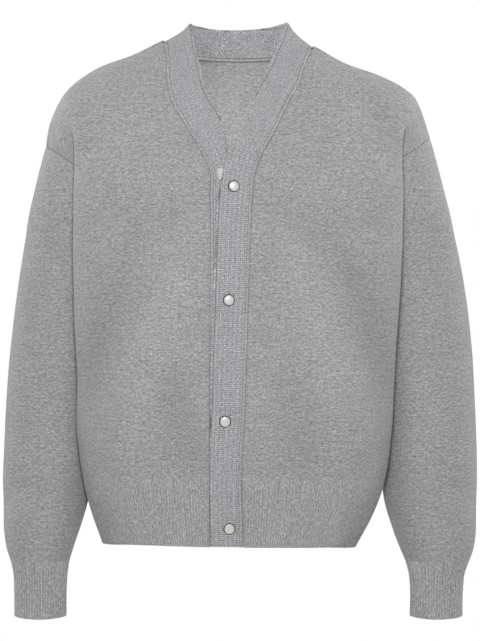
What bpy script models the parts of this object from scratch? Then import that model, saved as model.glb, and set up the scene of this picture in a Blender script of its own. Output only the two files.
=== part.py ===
"""A boxy button cardigan in grey marl knit, filled out as if worn, with nobody in it.

The origin is in the middle of the neck, on the shoulder line and level with the high shoulder
points. +X is the wearer's left, +Z is up and the front faces -Y. Sizes are in millimetres. In the
tables x counts outward from the middle to the piece's own side, y counts backward, and "down" is
the distance below the origin.
"""

import bpy
import numpy as np
from mathutils import Vector

MM = 0.001
SIDES = {"right": -1, "left": 1}

PANEL_WALL = 2.2
SLEEVE_WALL = 2.0
RIB_WALL = 2.0
BAND_WALL = 4.0
SEAM_GAP = 0.3
# The inner side of a wall stops short of each seam by this much more, so that seams can bend.
SEAM_BEVEL = 0.7
RIB_PITCH = 3.5
RIB_RISE = 0.9

# The left front's band laps over the right one: both tilt by the lap, from where it starts.
LAP = 4.8
LAP_STARTS, LAP_FULL = 95.0, 150.0

SNAP_RADIUS, SNAP_RIM, SNAP_DOME = 7.2, 1.1, 2.7
SNAP_BACK_RADIUS, SNAP_BACK_HOLE, SNAP_BACK_DEPTH = 5.6, 2.2, 1.2
SNAP_SIDES = 20
TAPE_WALL = 0.8

COLOURS = {
    "marl": (0.33, 0.33, 0.33),
    "band": (0.345, 0.345, 0.352),
    "tape": (0.52, 0.52, 0.52),
    "cap": (0.78, 0.77, 0.75),
}


def table(columns, rows):
    """The rows as one array for each named column."""
    return dict(zip(columns.split(), np.array(rows, float).T))


# The seam between each front and its band, and the band's free edge, from the shoulder to the hem.
BAND = {
    "right": table("seam_down seam_x seam_y edge_down edge_x edge_y", [
        (-4, 97.5, -10, -28.6, 64, -2),
        (25, 93.5, -38, 1, 58, -22),
        (52, 92.5, -56, 36, 49, -46),
        (82, 84.5, -74, 66, 40, -67),
        (111, 68, -89, 92, 27.5, -83),
        (137, 53, -99, 119, 19, -96),
        (166, 38.5, -107, 149, 14.5, -106),
        (200, 37.5, -113, 197, -1, -113.5),
        (245, 37, -118.5, 245, -4.5, -119),
        (330, 37, -124.5, 330, -5.5, -125),
        (400, 37.5, -126.5, 400, -5.5, -127),
        (470, 37.5, -126, 470, -4.5, -126),
        (530, 37, -120.5, 530, -4.5, -121),
        (556, 37, -116, 556, -4.5, -116),
        (600, 37, -107, 600, -4.5, -107),
        (645, 37, -99, 645, -5, -99),
    ]),
    "left": table("seam_down seam_x seam_y edge_down edge_x edge_y", [
        (3, 93, -12, -30, 60, -2),
        (32, 82, -43, 6, 47, -27),
        (54, 75, -58, 31, 36, -44),
        (83, 60, -75, 62, 22, -66),
        (118, 44, -92, 106, 8, -90),
        (148, 28, -102, 139, -8, -103),
        (171, 19.5, -108, 165, -19.5, -109),
        (205, 16, -113.5, 205, -27.5, -114),
        (265, 13, -120, 265, -30.5, -120.5),
        (330, 11, -124.5, 330, -34, -125),
        (400, 8.8, -127, 400, -36.2, -127),
        (470, 6.5, -126, 470, -37.2, -126),
        (530, 3, -121, 530, -37.2, -121),
        (556, 2.5, -116, 556, -37.2, -116),
        (600, 3, -107, 600, -37, -107),
        (645, 4.3, -99, 645, -36.7, -99),
    ]),
}

# Round the neck the band is hollow between its seam and its edge, by this much in the middle. That
# fades down the V, from one level to the other, and points to the middle of the neck.
BAND_HOLLOW, HOLLOW_FROM, HOLLOW_TO = 3.6, 5.0, 85.0
NECK_MIDDLE_Y = 25.0

# The band round the back of the neck, from beside the shoulder to the middle of the back.
NECK = table("seam_down seam_x seam_y edge_down edge_x edge_y", [
    (2.5, 91, 22, -30.5, 61, 18),
    (4, 80, 46, -31, 54, 38),
    (8, 57, 69, -29.5, 39, 57),
    (9.5, 30, 80, -28.5, 21, 66),
    (10, 0, 83, -28, 0, 69),
])
# The band's edge is higher toward the left round the back of the neck, by this share of x.
NECK_TILT = 0.025

# The armhole is a flat oval. Its top is the outer end of the shoulder seam and its foot is the
# underarm, where the side seam starts. Both are (x, down).
ARMHOLE = {
    "right": {"top": (252, 130), "foot": (166, 186)},
    "left": {"top": (247, 120), "foot": (167, 176)},
}
ARMHOLE_Y, ARMHOLE_HALF_DEPTH = 20.0, 65.0
UNDERARM = 200.0

# Sections of the right front over the chest, each from its band seam at "down" out to the armhole,
# as (x, y, down). The last number is the turn round the armhole, in degrees forward from its top.
FRONT_YOKE = [
    # down chest            breast            fold              crease            arm           turn
    (-4, (140, -14, 16), (185, -16, 34), (218, -17, 58), (234.5, -7, 79), (246, 4, 103), 6),
    (25, (138, -40, 35), (183, -40, 52), (217, -36, 74), (231, -27, 94), (241, -15, 114), 28),
    (60, (132, -66, 69), (179, -60, 81), (213, -51, 96), (222, -42, 111), (232, -34, 126), 50),
    (100, (127, -87, 107), (176, -77, 112), (210, -60, 122), (209, -46, 131), (216, -43, 141), 72),
    (140, (124, -100, 144), (175, -88, 147), (209, -64, 151), (204, -49, 156), (203, -46, 160), 98),
    (170, (122, -108, 172), (174, -94, 172), (209, -63, 172), (190, -44, 174), (181, -35, 176), 135),
    (200, (122, -112, 200), (174, -97, 199), (210, -60, 196), (183, -40, 190), (168, -10, 187), 180),
]

# Sections of the right half of the back over the shoulder, each from the middle at "down" and
# "middle_y" out to the armhole.
BACK_YOKE = [
    # down middle_y, nape, collar, neck, trap, blade, fold, crease, arm, turn
    (10, 83, (57, 69, 8), (80, 46, 4), (97.5, -10, -4), (140, -14, 16), (185, -16, 34),
     (218, -17, 58), (234.5, -7, 79), (246, 4, 103), 6),
    (15, 86, (59, 74, 12), (86, 48, 8), (102.5, 3, -3), (140, 9, 14), (184, 9, 29.5),
     (218, 11, 52), (235.5, 18, 76), (246, 26, 101), -10),
    (24, 89.5, (60, 79, 20), (91, 52, 15), (104.5, 18, 7), (139, 32, 22), (182, 33, 39),
     (216, 37, 61), (232, 44, 85), (241, 50, 112), -30),
    (44, 95, (60, 88, 40), (93, 66, 34), (106, 48, 27), (138, 57, 44), (178, 58, 64),
     (211, 61, 87), (224, 66, 108), (231.5, 70, 126), -52),
    (80, 104, (59, 100, 78), (88, 93, 75), (107, 86, 74), (136, 81, 84), (174, 81, 99),
     (206, 82, 119), (212, 82, 133), (216.5, 83, 142), -76),
    (125, 112, (57, 110, 124), (83, 107, 123.5), (106, 103, 123), (134, 99.5, 127), (171, 97, 137),
     (204, 92, 153), (198, 84, 158), (195, 82, 163), -110),
    (165, 117, (57, 115.5, 164.5), (82, 113.5, 164), (105, 110.5, 164), (133, 107.5, 166),
     (170, 104, 171), (203, 95, 177), (182, 79, 178), (174.5, 64, 179.5), -145),
    (200, 119, (57, 118, 200), (82, 116.5, 199.5), (105, 114.5, 199), (133, 111, 199),
     (170, 106, 198), (203, 94, 196), (181, 72, 191), (168, 47, 187), -180),
]

# How much lower the left shoulder lies, how that fades from section to section, and its width.
LEFT_SHOULDER_DROP = {
    "nape": 0, "collar": 0, "neck": 11, "chest": 11, "trap": 11.5, "breast": 10, "blade": 10, "fold": 4,
    "crease": 0, "arm": 0,
}
BESIDE_NECK = ("nape", "collar", "neck")
LEFT_SHOULDER_FADE = (1.0, 0.85, 0.55, 0.25, 0.0, 0.0, 0.0, 0.0)
LEFT_SHOULDER_WIDTH = 0.982
CREASE_FOLLOWS, ARM_FOLLOWS = 0.4, 0.75
# At the neck the left shoulder seam is lower by this much. Below LEVEL_FROM both sides are level.
LEFT_NECK_DROP, LEVEL_FROM = 7.0, 42.0

# Sections of the body below the armholes. The front and the back fold over the sleeves, and tuck
# in behind each fold to clear them. At the hem the section is a plain oval.
BODY = table(
    "down fold_right fold_left fold_y front_y back_y tuck tuck_y seam_in seam_y"
    " back_in back_fold_y back_tuck back_tuck_y",
    [
        (240, 211, 206, -58, -118, 119, 26, -36, 50, 21, 8, 92, 30, 72),
        (300, 211, 204, -55, -123, 118, 19, -30, 49, 22, 9, 87, 28, 68),
        (360, 210, 200, -52, -126, 117, 16, -26, 46, 22, 10, 82, 25, 64),
        (430, 208.5, 197, -47, -127, 116, 13, -22, 40, 20, 10, 75, 20, 56),
        (500, 206.5, 192, -40, -124, 113, 9, -15, 33, 17, 10, 64, 14, 46),
        (556, 200, 185, -29, -116, 107, 6, -6, 22, 14, 9, 50, 10, 36),
        (600, 190, 170, -16, -107, 99, 3, 2, 8, 12, 7, 36, 3, 26),
        (645, 175, 147, -4, -99, 92, 1, 6, 3, 12, 7, 32, 1, 22),
    ],
)
# The hem is higher in the middle of the front, and lower toward the left by a share of x. Both
# come in below HEM_FROM.
HEM_RISE, HEM_RISE_DEPTH, HEM_TILT, HEM_FROM = 6.3, 95.0, 0.014, 480.0
# Where the front and the back bulge between the fold and the middle: a share of the way out to the
# fold, and a share of the depth.
FRONT_BULGE = ((0.585, 0.86), (0.83, 0.58))
BACK_BULGE = ((0.85, 0.52), (0.66, 0.78), (0.52, 0.885), (0.41, 0.935), (0.28, 0.972), (0.0, 1.0))

# Sections of a sleeve and its cuff below the armhole, by their outermost and innermost points. The
# cuff has the last of them.
ARM = table(
    "outer_down inner_down right_outer right_inner left_outer left_inner middle_y half_depth",
    [
        (172, 218, 263, 165.5, 261, 167, 21, 65),
        (215, 250, 272, 165.5, 271, 166.5, 22, 62.5),
        (270, 296, 282, 167, 284, 166.5, 23, 59),
        (330, 347, 291, 170, 294.5, 168, 24, 57),
        (395, 406, 298.5, 174.5, 301.5, 171, 24, 56),
        (460, 466, 303.5, 181, 305, 175.5, 22, 55),
        (520, 523, 306, 187.5, 307, 181, 19, 54),
        (565, 566, 307.5, 193, 307.3, 184, 16, 53),
        (593, 593, 307.3, 198, 307, 188, 14, 51),
        (618, 618, 306.3, 205.3, 306, 195.5, 12, 47.5),
        (640, 640, 303.7, 212.8, 304, 203.3, 11, 42.5),
        (655, 655, 300.3, 217.6, 300.6, 209.5, 10, 37.5),
        (664, 664, 297.2, 220.3, 297.3, 213.3, 10, 34),
        (678, 678, 293, 223.4, 291, 218.3, 10, 30),
        (702, 702, 291.4, 225.2, 287.8, 220.9, 10, 28),
        (737, 737, 291.2, 225.4, 287, 220.4, 10, 27),
    ],
)
CUFF_ROWS = 3
CUFF_DIP = 2.0

# Snaps down the middle of the upper band, and the four corners of the tape end beside it.
SNAPS = [(-7.6, 189.8), (-13.8, 329.9), (-18.4, 479.9), (-13.2, 620.5)]
TAPE_CORNERS = [[(-28.5, 171.5), (-20.8, 174.8)], [(-26.3, 183.3), (-23.0, 184.3)]]

# Stations across a front, from its band seam to the armhole, and across half of the back, from the
# armhole to the neck point and on to the middle.
FRONT_STATIONS = (0.0, 85.0, 140.0, 185.0, 222.0, 248.0, 275.0)
BACK_STATIONS = (0.0, 27.0, 53.0, 90.0, 131.0, 178.0, 226.0, 286.0, 318.0, 376.0)
NECK_STATION = BACK_STATIONS[6]
# How far in from its edges a front or a back is eased over to run along its seams.
EDGE_REACH = 48.0

# How many faces lie between two named sections or stations.
FRONT_ACROSS = (3, 2, 3, 2, 2, 2)
NECK_ACROSS = (3, 2, 2)
YOKE_DOWN = (2, 2, 2, 1, 2, 2)
BACK_YOKE_DOWN = (1, 1, 1, 1, 1, 1, 1)
BODY_DOWN = (1, 2, 2, 2, 2, 2)
HEM_DOWN = (1, 1)
SLEEVE_DOWN = (1, 1, 1, 2, 2, 2, 1, 1, 1, 1, 1, 1, 1)
CUFF_DOWN = (1, 1, 1)
HEM_INSIDE = 14
CUFF_INSIDE = 24
FINE = 200
ALL_EDGES = "top bottom first last"
SHARP_FROM = 40.0


def spline(knots, values, at):
    """Points at the places `at` on the smooth curve through one row of values for each knot."""
    knots = np.asarray(knots, float)
    values = np.asarray(values, float).reshape(len(knots), -1)
    at = np.clip(np.atleast_1d(at), knots[0], knots[-1])
    step = np.diff(knots)[:, None]
    rise = np.diff(values, axis=0) / step
    slope = np.empty_like(values)
    slope[0], slope[-1] = rise[0], rise[-1]
    slope[1:-1] = (rise[:-1] * step[1:] + rise[1:] * step[:-1]) / (step[1:] + step[:-1])
    low = np.clip(np.searchsorted(knots, at, side="right") - 1, 0, len(knots) - 2)
    span = step[low]
    u = (at[:, None] - knots[low, None]) / span
    rest = 1 - u
    return (
        values[low] * rest * rest * (1 + 2 * u)
        + values[low + 1] * u * u * (3 - 2 * u)
        + (slope[low] * rest - slope[low + 1] * u) * span * u * rest
    )


def columns(rows, *names):
    """The named columns of a table side by side."""
    return np.column_stack([rows[name] for name in names])


def places(knots, counts):
    """The knots, with each span between two of them cut into that many equal steps."""
    cut = [np.linspace(a, b, n, endpoint=False) for a, b, n in zip(knots, knots[1:], counts)]
    return np.append(np.concatenate(cut), knots[-1])


def ease(start, end, at):
    """0 before start, 1 after end and smooth between them."""
    u = np.clip((np.asarray(at, float) - start) / (end - start), 0, 1)
    return u * u * (3 - 2 * u)


def armhole(side, turn):
    """Points of the armhole at turns in degrees from its top, forward positive."""
    top = np.array(ARMHOLE[side]["top"], float)
    foot = np.array(ARMHOLE[side]["foot"], float)
    turn = np.radians(np.atleast_1d(turn))
    flat = (top + foot) / 2 + np.cos(turn)[:, None] * (top - foot) / 2
    depth = ARMHOLE_Y - ARMHOLE_HALF_DEPTH * np.sin(turn)
    return np.column_stack([flat[:, 0], depth, flat[:, 1]])


def section_of(side, names, points, row):
    """The named points of a yoke section. The left shoulder is lower and a little narrower."""
    section = {name: np.array(point, float) for name, point in zip(names, points)}
    if side == "left":
        for name, point in section.items():
            point[0] *= 1 if name in BESIDE_NECK else LEFT_SHOULDER_WIDTH
            point[2] += LEFT_SHOULDER_DROP[name] * LEFT_SHOULDER_FADE[row]
    return section


def to_armhole(side, turn, section):
    """The points of a yoke section from its fold to the armhole."""
    end = armhole(side, turn)[0]
    shift = end - armhole("right", turn)[0]
    crease = section["crease"] + CREASE_FOLLOWS * shift
    arm = section["arm"] + ARM_FOLLOWS * shift
    return section["fold"], crease, arm, end


def body_side(side, row):
    """The points of a body section from the front fold to the back fold, as (x, y)."""
    get = {name: values[row] for name, values in BODY.items()}
    fold = get["fold_" + side]
    seam = fold - get["seam_in"]
    back_fold = fold - get["back_in"]
    front_room = get["seam_in"] - get["tuck"]
    back_room = max(get["seam_in"] - get["back_in"] - get["back_tuck"], 0)
    return {
        "fold": (fold, get["fold_y"]),
        "crease": (fold - get["tuck"], get["tuck_y"]),
        "arm": (seam + 0.3 * front_room, 0.45 * get["seam_y"] + 0.55 * get["tuck_y"]),
        "seam": (seam, get["seam_y"]),
        "back_arm": (seam + 0.3 * back_room, 0.5 * get["seam_y"] + 0.5 * get["back_tuck_y"]),
        "back_crease": (back_fold - get["back_tuck"], get["back_tuck_y"]),
        "back_fold": (back_fold, get["back_fold_y"]),
    }


def hung(points, sign=1):
    """Points of the body as its hem hangs. The sign is that of their side, if x is not signed."""
    points = np.array(points, float)
    x, y, down = points[..., 0] * sign, points[..., 1], points[..., 2]
    share = ease(HEM_FROM, BODY["down"][-1], down)
    points[..., 2] += share * (HEM_TILT * x - HEM_RISE * ease(0, HEM_RISE_DEPTH, -y))
    return points


def at_band(side, levels):
    """How far down its band seam each level of a side starts: the left shoulder's is lower."""
    drop = LEFT_NECK_DROP if side == "left" else 0
    return levels + drop * (1 - ease(FRONT_YOKE[0][0], LEVEL_FROM, levels))


def band_seam(side, levels):
    """Points of the seam between a front and its band."""
    rows = BAND[side]
    seam = columns(rows, "seam_x", "seam_y", "seam_down")
    return spline(rows["seam_down"], seam, at_band(side, np.asarray(levels, float)))


def side_seam(side, down):
    """Points of the side seam from the underarm to the hem."""
    seams = [armhole(side, 180)[0]]
    seams += [(*body_side(side, row)["seam"], level) for row, level in enumerate(BODY["down"])]
    return spline(np.append(UNDERARM, BODY["down"]), seams, down)


def turns_of(yoke, levels):
    """The turns round the armhole where the levels of a yoke end."""
    return spline([row[0] for row in yoke], [row[-1] for row in yoke], levels)[:, 0]


def outer_edge(side, yoke, levels):
    """The outer edge of a front or a half back: down the armhole, then down the side seam."""
    above = (levels <= UNDERARM)[:, None]
    return np.where(above, armhole(side, turns_of(yoke, levels)), side_seam(side, levels))


def near(across, station):
    """How far columns at stations across follow an edge at a station: 1 there, and 0 further in."""
    return 1 - ease(0, EDGE_REACH, np.abs(across - station))[:, None]


def front_yoke(side, row):
    """The seven points of a front's section above the underarm, from its band to the armhole."""
    level, *points, turn = FRONT_YOKE[row]
    section = section_of(side, ("chest", "breast", "fold", "crease", "arm"), points, row)
    inner = [band_seam(side, level)[0], section["chest"], section["breast"]]
    return [*inner, *to_armhole(side, turn, section)]


def back_yoke(side, row):
    """The ten points of a half back's section above the underarm, from the armhole to the middle."""
    level, middle_y, *points, turn = BACK_YOKE[row]
    names = ("nape", "collar", "neck", "trap", "blade", "fold", "crease", "arm")
    section = section_of(side, names, points, row)
    inner = [section[name] for name in ("blade", "trap", "neck", "collar", "nape")]
    return [*to_armhole(side, turn, section)[::-1], *inner, (0, middle_y, level)]


def front_sections(side):
    """The levels of a front's sections, and the seven points of each.

    The first is the back's nearest section, before the seam, so that the shoulder is smooth there.
    """
    levels = [2 * FRONT_YOKE[0][0] - FRONT_YOKE[1][0]]
    net = [back_yoke(side, 1)[:7][::-1]]
    for row, section in enumerate(FRONT_YOKE):
        levels.append(section[0])
        net.append(front_yoke(side, row))
    for row, level in enumerate(BODY["down"]):
        points = body_side(side, row)
        fold_x, fold_y = points["fold"]
        depth = BODY["front_y"][row] - fold_y
        across = [(at * fold_x, fold_y + share * depth, level) for at, share in FRONT_BULGE]
        lateral = [(*points[name], level) for name in ("fold", "crease", "arm", "seam")]
        levels.append(level)
        net.append([band_seam(side, level)[0], *across, *lateral])
    return np.array(levels), np.array(net)


def front(side, across, levels):
    """A grid of points of a front, a row for each level and a column for each station across."""
    knots, net = front_sections(side)
    rows = np.array([spline(FRONT_STATIONS, section, across) for section in net])
    grid = spline(knots, rows, levels).reshape(len(levels), len(across), 3)
    to_band = band_seam(side, levels)[:, None] - grid[:, :1]
    to_side = outer_edge(side, FRONT_YOKE, levels)[:, None] - grid[:, -1:]
    first, last = near(across, FRONT_STATIONS[0]), near(across, FRONT_STATIONS[-1])
    return hung(grid + to_band * first + to_side * last, SIDES[side])


def shoulder_seam(side, across):
    """Points of the shoulder seam at stations of the back, from the armhole in to the neck."""
    at = np.interp(across, BACK_STATIONS[:7], FRONT_STATIONS[::-1])
    return spline(FRONT_STATIONS, front_yoke(side, 0), at)


def neckline(side, share):
    """The back neck seam and the band's free edge at shares from the shoulder, 0, to the nape, 1."""
    names = ("seam_x", "seam_y", "seam_down", "edge_x", "edge_y", "edge_down")
    neck = columns(NECK, *names)
    neck[:, 5] -= SIDES[side] * NECK_TILT * neck[:, 3]
    points = np.vstack([columns(BAND[side], *names)[:1], neck])
    steps = np.linalg.norm(np.diff(points[:, :2], axis=0), axis=1)
    at = np.append(0, np.cumsum(steps))
    return spline(at, points, at[-1] * np.atleast_1d(share))


def back_sections(side):
    """The levels of the back's sections, and the ten points of each from a side to the middle.

    The first is the front's nearest section, before the seam, so that the shoulder is smooth there.
    """
    neck = [2 * np.array(a) - b for a, b in zip(back_yoke(side, 0)[7:], back_yoke(side, 1)[7:])]
    levels = [2 * BACK_YOKE[0][0] - BACK_YOKE[1][0]]
    net = [front_yoke(side, 1)[::-1] + neck]
    for row, section in enumerate(BACK_YOKE):
        levels.append(section[0])
        net.append(back_yoke(side, row))
    for row, level in enumerate(BODY["down"]):
        points = body_side(side, row)
        fold_x, fold_y = points["back_fold"]
        depth = BODY["back_y"][row] - fold_y
        lateral = [(*points[name], level) for name in ("seam", "back_arm", "back_crease", "back_fold")]
        across = [(at * fold_x, fold_y + share * depth, level) for at, share in BACK_BULGE]
        levels.append(level)
        net.append([*lateral, *across])
    return np.array(levels), np.array(net)


def back(across, levels):
    """A grid of points of the back, from the right armhole and side seam to the left ones."""
    halves = []
    for side, sign in SIDES.items():
        knots, net = back_sections(side)
        rows = np.array([spline(BACK_STATIONS, section, across) for section in net])
        wing = across <= NECK_STATION
        share = (across[~wing] - NECK_STATION) / (BACK_STATIONS[-1] - NECK_STATION)
        rows[1][wing] = shoulder_seam(side, across[wing])
        rows[1][~wing] = neckline(side, share)[:, :3]
        grid = spline(knots, rows, levels).reshape(len(levels), len(across), 3)
        grid += (outer_edge(side, BACK_YOKE, levels)[:, None] - grid[:, :1]) * near(across, 0)
        halves.append(grid * (sign, 1, 1))
    right, left = halves
    return hung(np.concatenate([right, left[:, -2::-1]], axis=1))


def arm(side, turns, first, counts):
    """A grid of points of a sleeve or a cuff: rings from the section `first`, counted from the
    armhole, with a point at each turn in degrees from the outer side. The cuff's end dips at the
    front and the back."""
    names = ("outer_down", side + "_outer", "inner_down", side + "_inner", "middle_y", "half_depth")
    (top_x, top_down), (foot_x, foot_down) = ARMHOLE[side]["top"], ARMHOLE[side]["foot"]
    start = (top_down, top_x, foot_down, foot_x, ARMHOLE_Y, ARMHOLE_HALF_DEPTH)
    rows = np.vstack([start, columns(ARM, *names)])
    knots = rows[:, 0] + rows[:, 2]
    at = places(knots[first:first + len(counts) + 1], counts)
    outer_down, outer_x, inner_down, inner_x, y, half_depth = spline(knots, rows, at).T[:, :, None]
    turn = np.radians(turns)
    x = (outer_x + inner_x) / 2 + np.cos(turn) * (outer_x - inner_x) / 2
    down = (outer_down + inner_down) / 2 + np.cos(turn) * (outer_down - inner_down) / 2
    cuff = np.clip((at - knots[-1 - CUFF_ROWS]) / (knots[-1] - knots[-1 - CUFF_ROWS]), 0, 1)
    down = down + CUFF_DIP * cuff[:, None] ** 2 * np.sin(turn) ** 2
    return np.stack([x, y - half_depth * np.sin(turn), down], axis=2)


def band_strip(side, levels):
    """The seam and the free edge of a front's band. The left one laps over the right one."""
    rows = BAND[side]
    names = ("seam_x", "seam_y", "seam_down", "edge_x", "edge_y", "edge_down")
    points = spline(rows["seam_down"], columns(rows, *names), at_band(side, levels))
    points[:, 4] -= SIDES[side] * LAP * ease(LAP_STARTS, LAP_FULL, points[:, 5])
    points *= np.tile((SIDES[side], 1, 1), 2)
    return hung(points.reshape(-1, 2, 3)).reshape(-1, 6)


def whole_band(levels, shares):
    """The seam, middle and free edge of the whole strip, from the right hem round the neck to the
    left hem."""
    right, left = band_strip("right", levels), band_strip("left", levels)
    neck = {side: neckline(side, shares) * np.tile((sign, 1, 1), 2) for side, sign in SIDES.items()}
    strip = np.concatenate([right[::-1], neck["right"][1:], neck["left"][-2:0:-1], left])
    seam, edge = strip[:, :3], strip[:, 3:]
    width = (edge - seam) / np.linalg.norm(edge - seam, axis=1, keepdims=True)
    inward = (0, NECK_MIDDLE_Y, 0) - (seam + edge) / 2
    inward[:, 2] = 0
    inward -= (inward * width).sum(axis=1, keepdims=True) * width
    inward /= np.linalg.norm(inward, axis=1, keepdims=True)
    hollow = BAND_HOLLOW * (1 - ease(HOLLOW_FROM, HOLLOW_TO, seam[:, 2]))
    middle = (seam + edge) / 2 + inward * hollow[:, None]
    return np.stack([seam, middle, edge], axis=1)


def on_band(side, x, down):
    """The point of a band's outer side at a model x and a level, and the outward direction there."""
    near = np.array([down - 1, down, down + 1])
    strip = band_strip(side, near)
    seam, edge = strip[:, :3], strip[:, 3:]
    share = (x - seam[1, 0]) / (edge[1, 0] - seam[1, 0])
    line = seam + (edge - seam) * share
    line, across = in_metres(line), in_metres(edge[1] - seam[1])
    out = np.cross(across, line[2] - line[0])
    out *= -np.sign(out[1]) / np.linalg.norm(out)
    return line[1], out


def in_metres(grid, sign=1):
    """Points in millimetres, as (x, y, down), as points of the model."""
    return np.asarray(grid) * (sign * MM, MM, -MM)


def pulled_in(grid, edges, by):
    """The grid with its named edges, such as "top first", pulled in by a distance in millimetres."""
    grid = grid.copy()
    for name, edge, near in (("top", 0, 1), ("bottom", -1, -2)):
        if name in edges:
            grid[edge] += toward(grid[edge], grid[near], by)
    for name, edge, near in (("first", 0, 1), ("last", -1, -2)):
        if name in edges:
            grid[:, edge] += toward(grid[:, edge], grid[:, near], by)
    return grid


def toward(edge, near, by):
    """The step of a given length from each point of an edge toward the next line of points."""
    step = near - edge
    return step / np.linalg.norm(step, axis=1, keepdims=True) * by * MM


def material(name, colour, roughness=0.9, metallic=0.0):
    """A Principled material in one of the named colours."""
    made = bpy.data.materials.new(name)
    made.use_nodes = True
    shader = made.node_tree.nodes["Principled BSDF"]
    shader.inputs["Base Color"].default_value = (*COLOURS[colour], 1)
    shader.inputs["Roughness"].default_value = roughness
    shader.inputs["Metallic"].default_value = metallic
    return made


def new_object(name, points, faces, finish):
    """A mesh object in the model's collection, smooth but for its sharpest edges."""
    mesh = bpy.data.meshes.new(name)
    mesh.from_pydata([tuple(point) for point in points], [], faces)
    mesh.materials.append(finish)
    mesh.shade_smooth()
    mesh.set_sharp_from_angle(angle=np.radians(SHARP_FROM))
    made = bpy.data.objects.new(name, mesh)
    parts.objects.link(made)


def grid_faces(rows, wide, closed=False, flip=False):
    """The faces of a grid of points, with its last column joined to the first if it is closed."""
    faces = []
    for row in range(rows - 1):
        for column in range(wide if closed else wide - 1):
            after = (column + 1) % wide
            face = (row * wide + column, (row + 1) * wide + column,
                    (row + 1) * wide + after, row * wide + after)
            faces.append(face[::-1] if flip else face)
    return faces


def outward(grid, closed, flip):
    """The outward direction at each point of a grid."""
    along = np.gradient(grid, axis=0)
    if closed:
        across = np.roll(grid, -1, axis=1) - np.roll(grid, 1, axis=1)
    else:
        across = np.gradient(grid, axis=1)
    out = np.cross(along, across)
    out /= np.linalg.norm(out, axis=2, keepdims=True)
    return -out if flip else out


def rim(outer, inner, closed):
    """Triangles between two lines of points of unlike count, from their start to their end."""
    if closed:
        outer, inner = [*outer, outer[0]], [*inner, inner[0]]
    faces, a, b = [], 0, 0
    while a < len(outer) - 1 or b < len(inner) - 1:
        outer_next = (a + 0.5) / (len(outer) - 1)
        inner_next = (b + 0.5) / (len(inner) - 1)
        if b == len(inner) - 1 or (a < len(outer) - 1 and outer_next <= inner_next):
            faces.append((outer[a], outer[a + 1], inner[b]))
            a += 1
        else:
            faces.append((outer[a], inner[b + 1], inner[b]))
            b += 1
    return faces


def wall(name, outside, inside, thickness, edges, finish, closed=False, flip=False, rise=0):
    """A cloth wall from the grid of its outer side to that of its inner side, which lies a
    thickness in and may have fewer columns. Its named edges are seams. Every other column of its
    outer side may rise, as a rib."""
    rows, wide = outside.shape[:2]
    narrow = inside.shape[1]
    rib = np.arange(wide) % 2 * rise * MM
    outer = outside + outward(outside, closed, flip) * rib[None, :, None]
    inner = inside - outward(inside, closed, flip) * thickness * MM
    outer = pulled_in(outer, edges, SEAM_GAP / 2)
    inner = pulled_in(inner, edges, SEAM_GAP / 2 + SEAM_BEVEL)
    start = rows * wide
    faces = grid_faces(rows, wide, closed, flip)
    inner_faces = grid_faces(rows, narrow, closed, not flip)
    faces += [tuple(start + corner for corner in face) for face in inner_faces]
    for row, turned_over in ((0, flip), (rows - 1, not flip)):
        outer_line = [row * wide + column for column in range(wide)]
        inner_line = [start + row * narrow + column for column in range(narrow)]
        found = rim(outer_line, inner_line, closed)
        faces += [face[::-1] if turned_over else face for face in found]
    if not closed:
        for a, b, turned_over in ((0, 0, not flip), (wide - 1, narrow - 1, flip)):
            for row in range(rows - 1):
                face = (row * wide + a, (row + 1) * wide + a,
                        start + (row + 1) * narrow + b, start + row * narrow + b)
                faces.append(face[::-1] if turned_over else face)
    points = np.concatenate([outer.reshape(-1, 3), inner.reshape(-1, 3)])
    new_object(name, points, faces, finish)


def evenly(line, at, count):
    """Places, read off `at`, that are evenly spaced along a line of points."""
    steps = np.linalg.norm(np.diff(line, axis=0), axis=1)
    length = np.append(0, np.cumsum(steps))
    return np.interp(np.linspace(0, length[-1], count), length, at)


def ribs_along(line):
    """How many ribs fit along a line of points in millimetres."""
    return round(np.linalg.norm(np.diff(line, axis=0), axis=1).sum() / RIB_PITCH)


def make_fronts(levels, finish):
    """Both fronts, from the shoulder to the hem rib."""
    across = places(FRONT_STATIONS, FRONT_ACROSS)
    for side, sign in SIDES.items():
        grid = in_metres(front(side, across, levels), sign)
        wall("front_" + side, grid, grid, PANEL_WALL, ALL_EDGES, finish, flip=sign < 0)


def make_back(finish):
    """The back, from the shoulders and the neck to the hem rib."""
    knots = [row[0] for row in BACK_YOKE] + list(BODY["down"][:-2])
    levels = places(knots, BACK_YOKE_DOWN + BODY_DOWN)
    across = places(BACK_STATIONS, FRONT_ACROSS[::-1] + NECK_ACROSS)
    grid = in_metres(back(across, levels))
    wall("back", grid, grid, PANEL_WALL, ALL_EDGES, finish, flip=True)


def make_sleeves(front_levels, finish):
    """Both sleeves. Each has its columns where the body's sections meet the armhole."""
    forward = turns_of(FRONT_YOKE, front_levels[front_levels <= UNDERARM])
    back_levels = places([row[0] for row in BACK_YOKE], BACK_YOKE_DOWN)
    backward = turns_of(BACK_YOKE, back_levels)
    turns = np.concatenate([forward, backward[1:-1][::-1]])
    for side, sign in SIDES.items():
        grid = in_metres(arm(side, turns, 0, SLEEVE_DOWN), sign)
        name = "sleeve_" + side
        wall(name, grid, grid, SLEEVE_WALL, "top bottom", finish, closed=True, flip=sign > 0)


def make_cuffs(finish):
    """Both ribbed cuffs."""
    fine = np.linspace(0, 360, 361)
    for side, sign in SIDES.items():
        line = arm(side, fine, len(SLEEVE_DOWN), CUFF_DOWN)[-1]
        grids = []
        for count in (2 * ribs_along(line), CUFF_INSIDE):
            turns = evenly(line, fine, count + 1)[:-1]
            grids.append(in_metres(arm(side, turns, len(SLEEVE_DOWN), CUFF_DOWN), sign))
        wall("cuff_" + side, *grids, RIB_WALL, "top", finish, closed=True, flip=sign > 0, rise=RIB_RISE)


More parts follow.
